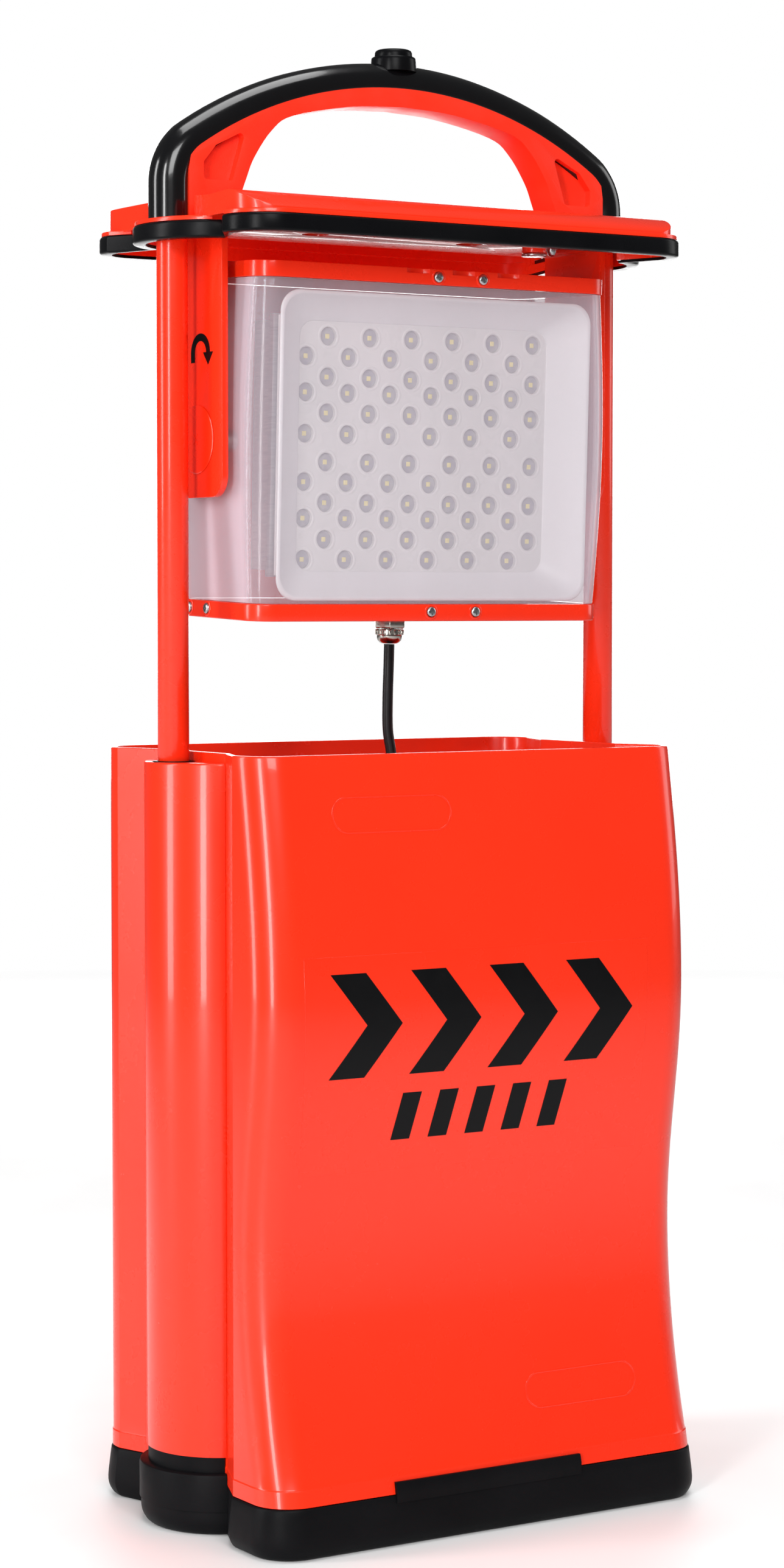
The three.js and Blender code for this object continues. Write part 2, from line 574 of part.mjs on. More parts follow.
// the head's own frame: its pieces are built upright, and the group leans about the pivot
const leaning = new THREE.Group();
leaning.position.z = PIVOT_Z;
leaning.rotation.x = THREE.MathUtils.degToRad(HEAD_LEAN);
const head = new THREE.Group();
head.position.z = -PIVOT_Z;
leaning.add(head);
model.add(leaning);

function add(name, solid, material, group = model) {
  const mesh = new THREE.Mesh(toGeometry(solid), material);
  mesh.name = name;
  group.add(mesh);
}

function addPair(name, make, material) {
  add(`${name}_left`, make(-1), material);
  add(`${name}_right`, make(1), material);
}

add('rubber_boot', makeBoot(), RUBBER);
add('case_shell', makeCaseShell(), ORANGE);
addPair('column', makeColumn, ORANGE);
addPair('mast_bush', makeBush, RUBBER);
add('battery', makeBattery(), BATTERY_GREY);
add('charger_module', makeCharger(), ALUMINIUM);
add('equipment_deck', makeDeck(), BLACK_PLASTIC);

add('deck_gland', cut(turned([[0, 96], [7, 96], [7, 102 + GAP], [10, 102 + GAP], [10, 108], [6.5, 112], [0, 112]],
  SLACK_ROUTE.at(-1)[0], 0, 12), cylinder(CABLE.radius + GAP, 90, 108.5, SLACK_ROUTE.at(-1)[0], 0, 12)), BLACK_PLASTIC);

// charging inlet low on the back, under a screw cap
add('charge_socket', onBack(turned([[0, -12], [SOCKET.barrel, -12], [SOCKET.barrel, GAP], [16, GAP], [16, 2.5],
  [11, 2.5], [11, -8], [0, -8]], 0, 0, 16)), BLACK_PLASTIC);
add('socket_cap', onBack(turned([[0, -5], [10.6, -5], [10.6, 2.5 + GAP], [17, 2.5 + GAP], [17, 7], [15, 9], [0, 9]],
  0, 0, 16)), RUBBER);

addPair('mast_tube', tube, ORANGE);
addPair('slide_shoe', slideShoe, BLACK_PLASTIC);
add('handle_bow', sweep(BOW_CURVE, BOW_STEPS, TUBE_RADIUS, TUBE_BORE, 8), STEEL);
add('grip_sleeve', sweep(BOW_CURVE, BOW_STEPS, SLEEVE.outer, SLEEVE.inner + 0.5, 12), RUBBER);
add('grip_moulding', makeGrip(), ORANGE);
add('lid', makeLid(), ORANGE);
add('lid_bridge', makeBridge(), ORANGE);
add('lid_trim', makeTrim(), RUBBER);
addPair('head_arm', makeArm, ORANGE);
addPair('pivot_cap', (side) => cylinderAlongX(PIVOT.cap, side * (ARM.outer + GAP),
  side * (ARM.outer + PIVOT.capThick), 0, PIVOT_Z, 24), ORANGE);

// buffer and sprung detent plunger under the lid
add('buffer_post', cylinder(8, 825, BRIDGE.bottom - GAP, 85, -40, 16), ORANGE);
add('buffer_pad', cylinder(8.4, 823, 825 - GAP, 85, -40, 16), STEEL);
add('detent_plunger', turned([[0, BRIDGE.bottom - GAP], [3.2, BRIDGE.bottom - GAP], [3.2, 827], [2.2, 824.4], [0, 823.4]]
  .reverse(), 99, -40, 12), STEEL);

add('switch_collar', cut(turned([[0, SWITCH.low], [SWITCH.collar, SWITCH.low], [SWITCH.collar - 0.8, SWITCH.rimZ],
  [0, SWITCH.rimZ]], 0, 0, 24), sweep(BOW_CURVE, BOW_STEPS, SLEEVE.outer + GAP, 0, 16),
cylinder(SWITCH.bore, BOW.crownZ + SLEEVE.outer + 0.35, 960, 0, 0, 24)), RUBBER);
add('switch_button', turned([[0, SWITCH.capLow], [SWITCH.cap, SWITCH.capLow], [SWITCH.cap, SWITCH.capTop - 2],
  [SWITCH.cap - 2, SWITCH.capTop], [0, SWITCH.capTop]], 0, 0, 24), RUBBER);

add('head_top_frame', makeTopFrame(), ORANGE, head);
add('head_bottom_frame', makeBottomFrame(), ORANGE, head);
add('window', makeHeadWall(-100, WINDOW.backY), CLEAR, head);
add('rear_cover', makeHeadWall(WINDOW.backY + GAP, 100), ORANGE, head);
add('reflector_tray', makeTray(), WHITE, head);
add('lens_plate', flatPanel(TRAY.plateHalfWidth + 2, TRAY.plateHalfHeight + 2, GAP, 3), WHITE, head);
add('led_board', flatPanel(108, 83, 5, 1.6), WHITE, head);
add('heat_sink', makeHeatSink(), ALUMINIUM, head);
add('led_driver', box(-50, 50, 12, 30, PIVOT_Z - 40, PIVOT_Z + 40), BLACK_PLASTIC, head);
for (const side of [-1, 1]) add(`pivot_pin_${side < 0 ? 'left' : 'right'}`, pivotPin(side), STEEL, head);
screwPlaces().forEach((place, i) => add(`window_screw_${i + 1}`, placedAt(turned([[0, -6], [SCREWS.shank, -6],
  [SCREWS.shank, GAP], [SCREWS.head, GAP], [SCREWS.head, 1], [SCREWS.head - 1, 1.8], [0, 1.8]], 0, 0, 8), place),
STEEL, head));
add('gland_body', makeGlandBody(), NICKEL, head);
add('gland_nut', makeGlandNut(), NICKEL, head);
add('head_cable', sweep(route(CABLE_ROUTE), 14, CABLE.radius, 0, 8), RUBBER);
add('slack_cable', sweep(route(SLACK_ROUTE), 30, CABLE.radius, 0, 8), RUBBER);

export default model;
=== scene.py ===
"""Portable rechargeable floodlight: case, telescoping mast with a domed lid, and a tilting LED head.

Sizes in the tables below are in millimetres in the frame's axes: X right, Y back, Z up.
"""
import math

import bmesh
import bpy
from bpy.props import FloatProperty, FloatVectorProperty, PointerProperty
from mathutils import Matrix, Vector


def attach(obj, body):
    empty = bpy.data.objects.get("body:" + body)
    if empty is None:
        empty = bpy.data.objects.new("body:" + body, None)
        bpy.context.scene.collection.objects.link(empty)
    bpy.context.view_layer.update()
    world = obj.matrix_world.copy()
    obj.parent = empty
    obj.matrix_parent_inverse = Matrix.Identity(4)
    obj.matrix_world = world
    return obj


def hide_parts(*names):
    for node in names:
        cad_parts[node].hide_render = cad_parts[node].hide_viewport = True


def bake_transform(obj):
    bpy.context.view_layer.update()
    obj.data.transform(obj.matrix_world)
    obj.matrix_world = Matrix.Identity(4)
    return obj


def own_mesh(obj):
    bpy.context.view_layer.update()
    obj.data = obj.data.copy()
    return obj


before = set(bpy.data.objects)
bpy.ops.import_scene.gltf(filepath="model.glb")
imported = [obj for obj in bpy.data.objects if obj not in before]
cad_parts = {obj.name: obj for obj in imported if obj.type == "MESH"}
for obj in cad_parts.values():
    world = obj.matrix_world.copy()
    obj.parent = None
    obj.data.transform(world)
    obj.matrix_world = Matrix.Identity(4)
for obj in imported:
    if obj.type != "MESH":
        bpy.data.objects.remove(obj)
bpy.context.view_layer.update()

bl_info = {
    "name": "Portable floodlight",
    "version": (1, 0, 0),
    "blender": (4, 5, 0),
    "location": "3D View > Sidebar > Floodlight",
    "description": "Builds a portable LED floodlight round its packed frame",
    "category": "Add Mesh",
}

MM = 0.001
FLOOR_RADIUS = 3500

# ---------------------------------------------------------------- sizes

# case plan: two end blocks joined by a waist
CASE_HALF = 165.0
WAIST_HALF = 153.0
CASE_FRONT = -99.0
CASE_BACK = 107.0
CASE_CORNER = 25.0
BLOCK_FRONT = -73.0
BLOCK_BACK = 79.0
CASE_LOW = 6.3
CASE_RIM = 499.0
SWELL_DEPTH = 16.3
SWELL_HIGH = 342
SWELL_LOW = 187
SWELL_FOOT = 2
BAND_LOW = 33.0
BAND_HIGH = 44.0

# columns
COLUMN_DEPTH = 44.0
COLUMN_RISE = 28.0
COLUMN_RADIUS = (COLUMN_DEPTH ** 2 + COLUMN_RISE ** 2) / (2 * COLUMN_RISE)
COLUMN_CENTRE = WAIST_HALF + COLUMN_RISE - COLUMN_RADIUS
COLUMN_LOW = 50.0
COLUMN_TOP = 492.6
INLET_Z = 75

# mast, handle and lid
TUBE_X = 166.2
TUBE_RADIUS = 10.0
BOW_X = 168.5
BOW_FOOT = 836.4
BEND_RADIUS = 34.0
CROWN_Z = 934.0
CROWN_RADIUS = 277.0
SLEEVE_RADIUS = 13.0
GRIP_DEPTH = 12.5
GRIP_OPENING = ((124, 851), (119, 864), (113, 878), (100, 896), (84, 906.5), (40, 915.5), (0, 918))
POCKET = ((150, 862), (150, 873), (141, 884), (119, 895), (129, 862))
DOME_SECTION = (
    (-98.5, 836), (-97, 838.5), (-90, 842.5), (-78, 847.5), (-68, 849.3), (-44, 848.3),
    (-15, 850), (60, 850.5), (92, 850), (99, 847.5), (102.5, 843), (103, 836),
)
DOME_HALF = 165.0
DOME_CORNER = 22.0
NOTCH_X = 146.0
NOTCH_DEPTH = 27.0
TRIM_PROUD = 6.2

# lamp head, built upright and then leant about the pivot
PIVOT_Z = 698.0
HEAD_LEAN = math.radians(2.3)
HEAD_HALF = 135.0
HEAD_DEPTH = 54.0
HEAD_CORNER = 16.0
WALL_LOW, WALL_HIGH = 595.3, 800.7
WALL_SWELL = 4
WALL_THICK = 2.5
WALL_SEAM = 34
TRAY_X = 3.0
TRAY_Z = 695.5
PLATE_Y = -32.2
LED_ROWS = (766, 753, 740, 730, 717, 703.6, 685.6, 672.7, 659.5, 649.4, 636, 623)
LED_PITCH = 31.8
LED_STARTS = (-71.0, -87.0)
SCREW_X = (-2.5, 32)
SCREW_Z = (806, 590)
SCREW_SIDE_Y = (7, 30)

ARM_INNER = 143.9
ARM_OUTER = 148.3

HEAD_CABLE = ((0, 5.2, 566.5), (0, 6, 550), (-0.6, 6.2, 530), (-0.6, 6, 510), (1, 4.6, 495), (1.6, 4, 482),
              (1.6, 4, 470))
SLACK_CABLE = ((1.6, 4, 469.7), (1.6, 4, 450), (-2, 3, 400), (-5, 1, 340), (-2, -3, 270), (4, 0, 200),
               (8, 0, 140), (8, 0, 112.3))
CABLE_RADIUS = 3.5
SIDES = ((-1, "left"), (1, "right"))


# ---------------------------------------------------------------- outlines

def arc(cx, cy, radius, start, end, steps):
    """Points on an arc, from and to in degrees."""
    points = []
    for i in range(steps + 1):
        a = math.radians(start + (end - start) * i / steps)
        points.append((cx + radius * math.cos(a), cy + radius * math.sin(a)))
    return points


def filleted(corners):
    """A closed outline through (x, y, radius, steps) corners, each rounded by its radius."""
    points = []
    count = len(corners)
    for i, (x, y, radius, steps) in enumerate(corners):
        here = Vector((x, y))
        if radius <= 0:
            points.append((x, y))
            continue
        before = (Vector(corners[i - 1][:2]) - here).normalized()
        after = (Vector(corners[(i + 1) % count][:2]) - here).normalized()
        half = before.angle(after) / 2
        run = radius / math.tan(half)
        centre = here + (before + after).normalized() * (radius / math.sin(half))
        first = here + before * run - centre
        last = here + after * run - centre
        sweep = first.angle_signed(last)
        for k in range(steps + 1):
            turn = Matrix.Rotation(-sweep * k / steps, 2)
            spot = centre + turn @ first
            points.append((spot.x, spot.y))
    return points


def rounded_box(half_x, low, high, radius, steps=8):
    """A rounded rectangle outline, anticlockwise from its lower left."""
    return filleted([
        (-half_x, low, radius, steps), (half_x, low, radius, steps),
        (half_x, high, radius, steps), (-half_x, high, radius, steps),
    ])


def front_swell(z):
    """How far the front panel stands forward of the rim at a height."""
    if z >= SWELL_HIGH:
        return SWELL_DEPTH * math.sin(math.pi / 2 * (CASE_RIM - z) / (CASE_RIM - SWELL_HIGH))
    if z >= SWELL_LOW:
        t = (SWELL_HIGH - z) / (SWELL_HIGH - SWELL_LOW)
        return SWELL_DEPTH + (SWELL_FOOT - SWELL_DEPTH) * (1 - math.cos(math.pi * t)) / 2
    t = (SWELL_LOW - max(z, 36)) / SWELL_LOW
    return SWELL_FOOT + 34 * t ** 1.9


def case_outline(z, grow=0.0, columns=False):
    """Plan of the case at a height, grown outwards; with the bowed columns or with the bare waist."""
    half = CASE_HALF + grow
    waist = WAIST_HALF + grow
    front = CASE_FRONT - front_swell(z) - grow
    back = CASE_BACK + grow
    corner = CASE_CORNER + grow
    edge = 2.0

    def side(sign):
        if columns:
            reach = math.degrees(math.asin(COLUMN_DEPTH / COLUMN_RADIUS))
            middle = 0 if sign > 0 else 180
            bow = arc(sign * COLUMN_CENTRE, 0, COLUMN_RADIUS + grow, middle - reach, middle + reach, 24)
            return [(x, y, 0, 0) for x, y in bow]
        return [(sign * waist, -sign * COLUMN_DEPTH, 1.5, 3), (sign * waist, sign * COLUMN_DEPTH, 1.5, 3)]

    return filleted([
        (-half, front, corner, 14), (half, front, corner, 14), (half, BLOCK_FRONT, edge, 3),
        *side(1),
        (half, BLOCK_BACK, edge, 3), (half, back, corner, 14), (-half, back, corner, 14),
        (-half, BLOCK_BACK, edge, 3),
        *side(-1),
        (-half, BLOCK_FRONT, edge, 3),
    ])


def column_outline(side, grow=0.0, inner=WAIST_HALF + 0.3):
    """Plan of one column: its bow, closed by a straight back against the waist."""
    radius = COLUMN_RADIUS + grow
    reach = math.degrees(math.acos((inner - COLUMN_CENTRE) / radius))
    middle = 0 if side > 0 else 180
    return arc(side * COLUMN_CENTRE, 0, radius, middle - reach, middle + reach, 28)


def tube_foot(side):
    """Where a mast tube's axis meets the ground."""
    return side * TUBE_X, 0, 0


def smooth_path(points, steps):
    """Points along a Catmull-Rom curve through the given points."""
    knots = [Vector(p) for p in points]
    knots = [2 * knots[0] - knots[1], *knots, 2 * knots[-1] - knots[-2]]
    path = []
    for i in range(1, len(knots) - 2):
        a, b, c, d = knots[i - 1:i + 3]
        for k in range(steps):
            t = k / steps
            path.append(0.5 * (2 * b + (c - a) * t + (2 * a - 5 * b + 4 * c - d) * t * t
                               + (3 * b - a - 3 * c + d) * t ** 3))
    path.append(knots[-2])
    return path


def crown_height(x):
    """Height of the handle's crown arc at x."""
    return CROWN_Z - CROWN_RADIUS + math.sqrt(CROWN_RADIUS ** 2 - x ** 2)


def bow_path():
    """Centre line of the carry handle: up from one ear, round a bend, over the crown and down."""
    bend_x = BOW_X - BEND_RADIUS
    base = CROWN_Z - CROWN_RADIUS
    bend_z = base + math.sqrt((CROWN_RADIUS - BEND_RADIUS) ** 2 - bend_x ** 2)
    lean = math.degrees(math.atan2(bend_x, bend_z - base))
    left = [(-BOW_X, BOW_FOOT), (-BOW_X, (BOW_FOOT + bend_z) / 2)]
    left += arc(-bend_x, bend_z, BEND_RADIUS, 180, 90 + lean, 14)
    left += arc(0, base, CROWN_RADIUS, 90 + lean, 90, 26)[1:]
    right = [(-x, z) for x, z in reversed(left[:-1])]
    return [Vector((x, 0, z)) for x, z in left + right]


# ---------------------------------------------------------------- mesh making

def new_mesh(name, verts, faces):
    """A mesh object from millimetre points, with doubles merged and normals outwards."""
    mesh = bpy.data.meshes.new(name)
    mesh.from_pydata([Vector(v) * MM for v in verts], [], faces)
    obj = bpy.data.objects.new(name, mesh)
    bpy.context.scene.collection.objects.link(obj)
    tidy(obj)
    return obj


def tidy(obj, recalc=True):
    """Merges doubled points and turns the faces outwards."""
    work = bmesh.new()
    work.from_mesh(obj.data)
    bmesh.ops.remove_doubles(work, verts=work.verts, dist=1e-6)
    bmesh.ops.dissolve_degenerate(work, dist=1e-7, edges=work.edges)
    if recalc:
        bmesh.ops.recalc_face_normals(work, faces=work.faces)
    work.to_mesh(obj.data)
    work.free()


def skin(name, rings, caps=True, closed=False):
    """A surface through rings of equal point counts; capped at its ends, or closed on itself."""
    count = len(rings[0])
    verts = [p for ring in rings for p in ring]
    faces = []
    last = len(rings) if closed else len(rings) - 1
    for level in range(last):
        a = level * count
        b = (level + 1) % len(rings) * count
        for i in range(count):
            j = (i + 1) % count
            faces.append((a + i, a + j, b + j, b + i))
    if caps and not closed:
        faces.append(tuple(reversed(range(count))))
        faces.append(tuple(range((len(rings) - 1) * count, len(rings) * count)))
    return new_mesh(name, verts, faces)


def at_height(points, z):
    """Lifts a plan outline to a height."""
    return [(x, y, z) for x, y in points]


def prism(name, points, low, high, axis="Z"):
    """A prism of an outline: a plan along Z, an (x, z) outline along Y, or a (y, z) outline along X."""
    if axis == "Z":
        rings = [at_height(points, low), at_height(points, high)]
    elif axis == "Y":
        rings = [[(x, level, z) for x, z in points] for level in (low, high)]
    else:
        rings = [[(level, y, z) for y, z in points] for level in (low, high)]
    return skin(name, rings)


def block(name, x0, x1, y0, y1, z0, z1):
    """A box between two corners."""
    return prism(name, [(x0, y0), (x1, y0), (x1, y1), (x0, y1)], z0, z1)


def turned(name, profile, sides=40, centre=(0, 0, 0), axis="Z"):
    """A turned piece from a closed (radius, height) profile about an axis through a centre."""
    rings = []
    for i in range(sides):
        a = 2 * math.pi * i / sides
        ring = []
        for r, h in profile:
            spot = (r * math.cos(a), r * math.sin(a), h)
            if axis == "X":
                spot = (h, r * math.cos(a), r * math.sin(a))
            elif axis == "Y":
                spot = (r * math.sin(a), h, r * math.cos(a))
            ring.append(tuple(s + c for s, c in zip(spot, centre)))
        rings.append(ring)
    return skin(name, rings, closed=True)


def bore(radius, low, high, sides, centre=(0, 0, 0), axis="Z"):
    """A round tool for a hole, between two heights on its axis."""
    return turned("tool", [(0, low), (radius, low), (radius, high), (0, high)], sides, centre, axis)


def pipe(name, path, outer, inner=0.0, sides=32):
    """A rod or a hollow pipe along a path, with closed ends."""
    path = [Vector(p) for p in path]
    across = Vector((0, 1, 0))
    rings = []
    for i, here in enumerate(path):
        ahead = (path[min(i + 1, len(path) - 1)] - path[max(i - 1, 0)]).normalized()
        side = (across - ahead * across.dot(ahead)).normalized()
        third = ahead.cross(side)
        rings.append((here, side, third))

    def loop(here, side, third, radius):
        return [tuple(here + (side * math.cos(2 * math.pi * k / sides)
                              + third * math.sin(2 * math.pi * k / sides)) * radius) for k in range(sides)]

    outside = [loop(*r, outer) for r in rings]
    if inner <= 0:
        return skin(name, outside)
    inside = [loop(*r, inner) for r in reversed(rings)]
    return skin(name, outside + inside, closed=True)


def carve(obj, tool, operation="DIFFERENCE"):
    """Cuts, joins or intersects obj with a tool, and removes the tool."""
    modifier = obj.modifiers.new("carve", "BOOLEAN")
    modifier.operation = operation
    modifier.solver = "EXACT"
    modifier.object = tool
    settle(obj)
    bpy.data.objects.remove(tool)
    return obj


def settle(obj):
    """Replaces an object's mesh by the one that its modifiers make."""
    depsgraph = bpy.context.evaluated_depsgraph_get()
    mesh = bpy.data.meshes.new_from_object(obj.evaluated_get(depsgraph))
    obj.modifiers.clear()
    old = obj.data
    obj.data = mesh
    bpy.data.meshes.remove(old)
    return obj


def soften(obj, width, segments=2, angle=35):
    """Rounds the sharp edges of a piece and shades the rest smooth."""
    if width > 0:
        modifier = obj.modifiers.new("edges", "BEVEL")
        modifier.width = width * MM
        modifier.segments = segments
        modifier.limit_method = "ANGLE"
        modifier.angle_limit = math.radians(angle)
        modifier.use_clamp_overlap = True
        settle(obj)
    obj.data.shade_smooth()
    obj.data.set_sharp_from_angle(angle=math.radians(angle))
    return obj


def lean(obj):
    """Leans a head piece forwards about the pivot, as the head rests."""
    pivot = Vector((0, 0, PIVOT_Z * MM))
    turn = Matrix.Translation(pivot) @ Matrix.Rotation(HEAD_LEAN, 4, "X") @ Matrix.Translation(-pivot)
    obj.data.transform(turn)
    return obj


def place(obj, name, body, look, nodes=(), leaning=False):
    """Gives a finished mesh its name, finish and body, and hides the frame nodes it stands for."""
    if leaning:
        lean(obj)
    obj.name = name
    obj.data.name = name
    obj.data.materials.clear()
    obj.data.materials.append(FINISHES[look])
    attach(obj, body)
    if nodes:
        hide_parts(*nodes)
    return obj


def from_frame(node, name, body, look, width=0.6):
    """A frame node's own solid, merged, with its edges rounded."""
    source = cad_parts[node]
    obj = bpy.data.objects.new(name, source.data.copy())
    bpy.context.scene.collection.objects.link(obj)
    work = bmesh.new()
    work.from_mesh(obj.data)
    bmesh.ops.remove_doubles(work, verts=work.verts, dist=2e-6)
    bmesh.ops.dissolve_limit(work, angle_limit=math.radians(1), verts=work.verts, edges=work.edges)
    work.to_mesh(obj.data)
    work.free()
    soften(obj, width)
    return place(obj, name, body, look, [node])


# ---------------------------------------------------------------- repeats

def add(tree, kind, options=None, **inputs):
    """Adds a node; an input is a link from a socket or a value, and _ in its name stands for a space."""
    made = tree.nodes.new(kind)
    for name, value in (options or {}).items():
        setattr(made, name, value)
    for name, value in inputs.items():
        socket = made.inputs[name.replace("_", " ")]
        if isinstance(value, bpy.types.NodeSocket):
            tree.links.new(value, socket)
        else:
            socket.default_value = value
    return made


def scatter_tree():
    """Node tree that puts a part on every point, turned so that its Z follows the point's aim."""
    tree = bpy.data.node_groups.get("Part on points")
    if tree is not None:
        return tree
    tree = bpy.data.node_groups.new("Part on points", "GeometryNodeTree")
    for name, kind in (("Places", "Geometry"), ("Part", "Object"), ("Size", "Float"), ("Finish", "Material")):
        tree.interface.new_socket(name, in_out="INPUT", socket_type="NodeSocket" + kind)
    tree.interface.new_socket("Pieces", in_out="OUTPUT", socket_type="NodeSocketGeometry")
    enter = add(tree, "NodeGroupInput").outputs
    part = add(tree, "GeometryNodeObjectInfo", Object=enter["Part"])
    aim = add(tree, "GeometryNodeInputNamedAttribute", {"data_type": "FLOAT_VECTOR"}, Name="aim")
    turn = add(tree, "FunctionNodeAlignRotationToVector", {"axis": "Z"}, Vector=aim.outputs["Attribute"])
    level = add(tree, "FunctionNodeAlignRotationToVector", {"axis": "X", "pivot_axis": "Z"},
                Vector=(0, 0, 1), Rotation=turn.outputs["Rotation"])
    put = add(tree, "GeometryNodeInstanceOnPoints", Points=enter["Places"], Instance=part.outputs["Geometry"],
              Rotation=level.outputs["Rotation"], Scale=enter["Size"])
    real = add(tree, "GeometryNodeRealizeInstances", Geometry=put.outputs["Instances"])
    done = add(tree, "GeometryNodeSetMaterial", Geometry=real.outputs["Geometry"], Material=enter["Finish"])
    add(tree, "NodeGroupOutput", Pieces=done.outputs["Geometry"])
    return tree


def scatter(name, part, places, look, size=1.0):
    """Puts a part on each (point, aim) place and returns one plain mesh of them all."""
    mesh = bpy.data.meshes.new(name)
    mesh.from_pydata([Vector(p) * MM for p, _ in places], [], [])
    aim = mesh.attributes.new("aim", "FLOAT_VECTOR", "POINT")
    for i, (_, direction) in enumerate(places):
        aim.data[i].vector = direction
    obj = bpy.data.objects.new(name, mesh)
    bpy.context.scene.collection.objects.link(obj)
    tree = scatter_tree()
    modifier = obj.modifiers.new("repeat", "NODES")
    modifier.node_group = tree
    values = {"Part": part, "Size": size, "Finish": FINISHES[look]}
    for item in tree.interface.items_tree:
        if item.item_type == "SOCKET" and item.in_out == "INPUT" and item.name in values:
            modifier[item.identifier] = values[item.name]
    settle(obj)
    bpy.data.objects.remove(part)
    obj.data.shade_smooth()
    obj.data.set_sharp_from_angle(angle=math.radians(35))
    return obj


# ---------------------------------------------------------------- finishes

def ramp(tree, source, low, high, start=0.3, end=0.7):
    """Spreads a texture's value over a range."""
    return add(tree, "ShaderNodeMapRange", Value=source, From_Min=start, From_Max=end, To_Min=low,
               To_Max=high).outputs["Result"]


def noise(tree, vector, scale, detail, rough, stretch=(1, 1, 1)):
    """A noise texture, its pattern stretched by a mapping."""
    mapped = add(tree, "ShaderNodeMapping", Scale=stretch, Vector=vector).outputs["Vector"]
    return add(tree, "ShaderNodeTexNoise", Scale=scale, Detail=detail, Roughness=rough,
               Vector=mapped).outputs["Fac"]


def bump(tree, height, depth, **below):
    """A bump of a depth in millimetres, over another one where it is given as Normal."""
    return add(tree, "ShaderNodeBump", Strength=1.0, Distance=depth * MM, Height=height,
               **below).outputs["Normal"]


def finish(name, colour, second=None, rough=(0.3, 0.4), rough_scale=40, grain=1500, grain_depth=0.02,
           patch=9, fixed=None, waves=0.0, wave_scale=14, stretch=(1, 1, 1)):
    """A procedural finish: two close shades in patches, uneven gloss, a fine grain and slow waves."""
    material = bpy.data.materials.new(name)
    material.use_nodes = True
    tree = material.node_tree
    shader = tree.nodes["Principled BSDF"]
    for socket, value in (fixed or {}).items():
        shader.inputs[socket].default_value = value
    spot = add(tree, "ShaderNodeTexCoord").outputs["Object"]
    second = second or tuple(c * 0.86 for c in colour)
    patches = noise(tree, spot, patch, 4, 0.55, stretch)
    mix = add(tree, "ShaderNodeMix", {"data_type": "RGBA"}, A=(*colour, 1), B=(*second, 1),
              Factor=ramp(tree, patches, 0, 1, 0.35, 0.72))
    tree.links.new(mix.outputs["Result"], shader.inputs["Base Color"])
    gloss = noise(tree, spot, rough_scale, 5, 0.6, stretch)
    tree.links.new(ramp(tree, gloss, *rough), shader.inputs["Roughness"])
    normal = bump(tree, noise(tree, spot, grain, 2, 0.5), grain_depth)
    if waves:
        normal = bump(tree, noise(tree, spot, wave_scale, 1, 0.4, stretch), waves, Normal=normal)
    tree.links.new(normal, shader.inputs["Normal"])
    return material


FINISHES = {}


def make_finishes(settings):
    """Makes every finish once."""
    orange = tuple(settings.case.colour)
    deep = tuple(c * k for c, k in zip(orange, (0.96, 0.9, 0.9)))
    black = tuple(settings.case.rubber_colour)
    gloss = {"Coat Weight": settings.case.gloss, "Coat Roughness": 0.05, "Specular IOR Level": 0.34}
    metal = {"Metallic": 1.0}
    rows = {
        "moulded orange": (orange, deep, (0.25, 0.29), 14, 900, 0.004, 6, gloss, 0.07, 5),
        "lid orange": (orange, deep, (0.25, 0.30), 30, 1200, 0.005, 5, gloss, 0.05, 12),
        "painted orange": (orange, deep, (0.25, 0.31), 60, 1100, 0.008, 6, gloss, 0.03, 30),
        "gripped orange": (orange, deep, (0.38, 0.5), 60, 1500, 0.12, 14,
                           {"Coat Weight": 0.1, "Coat Roughness": 0.2}),
        "gloss rubber": (black, None, (0.16, 0.22), 50, 1200, 0.008, 20,
                         {"Coat Weight": 0.35, "Coat Roughness": 0.06, "Specular IOR Level": 0.4}, 0.05, 50),
        "satin rubber": (black, tuple(c * 1.5 for c in black), (0.24, 0.34), 40, 1800, 0.02, 18,
                         {"Specular IOR Level": 0.08}),
        "boot rubber": (black, tuple(c * 1.6 for c in black), (0.38, 0.52), 30, 1600, 0.05, 12,
                        {"Specular IOR Level": 0.07}, 0.2, 25),
        "black plastic": ((0.006, 0.006, 0.007), None, (0.35, 0.5), 60, 1800, 0.05),
        "cable sheath": ((0.004, 0.004, 0.005), None, (0.36, 0.5), 80, 1500, 0.03, 9,
                         {"Specular IOR Level": 0.3}),
        "black vinyl": ((0.003, 0.003, 0.0035), None, (0.3, 0.4), 60, 900, 0.01, 9,
                        {"Specular IOR Level": 0.15}),
        "reflector white": ((0.76, 0.745, 0.75), (0.73, 0.715, 0.72), (0.3, 0.4), 30, 1400, 0.01, 12),
        "lens white": ((0.70, 0.68, 0.67), (0.65, 0.64, 0.63), (0.24, 0.34), 40, 900, 0.01, 16),
        "lens grey": ((0.33, 0.32, 0.36), (0.42, 0.42, 0.42), (0.14, 0.3), 200, 900, 0.02, 160),
        "phosphor yellow": ((0.80, 0.70, 0.30), (0.72, 0.62, 0.26), (0.4, 0.55), 600, 3000, 0.02, 500),
        "screw steel": ((0.52, 0.53, 0.54), (0.42, 0.42, 0.43), (0.22, 0.38), 500, 3000, 0.01, 300,
                        metal),
        "nickel plate": ((0.50, 0.47, 0.43), (0.40, 0.37, 0.34), (0.14, 0.26), 300, 2500, 0.008,
                         200, metal),
        "aluminium": ((0.55, 0.56, 0.57), (0.47, 0.48, 0.49), (0.34, 0.5), 80, 2000, 0.03, 60,
                      metal, 0.0, 14, (1, 1, 12)),
        "battery grey": ((0.045, 0.05, 0.056), (0.035, 0.038, 0.044), (0.45, 0.6), 60, 1500, 0.08),
    }
    for name, row in rows.items():
        FINISHES[name] = finish(name.capitalize(), *row)
    # The window's tint holds its own faint colour and a painted reflection of the lights.
    FINISHES["window clear"] = window_finish(tuple(settings.head.window_tint_and_sheen))


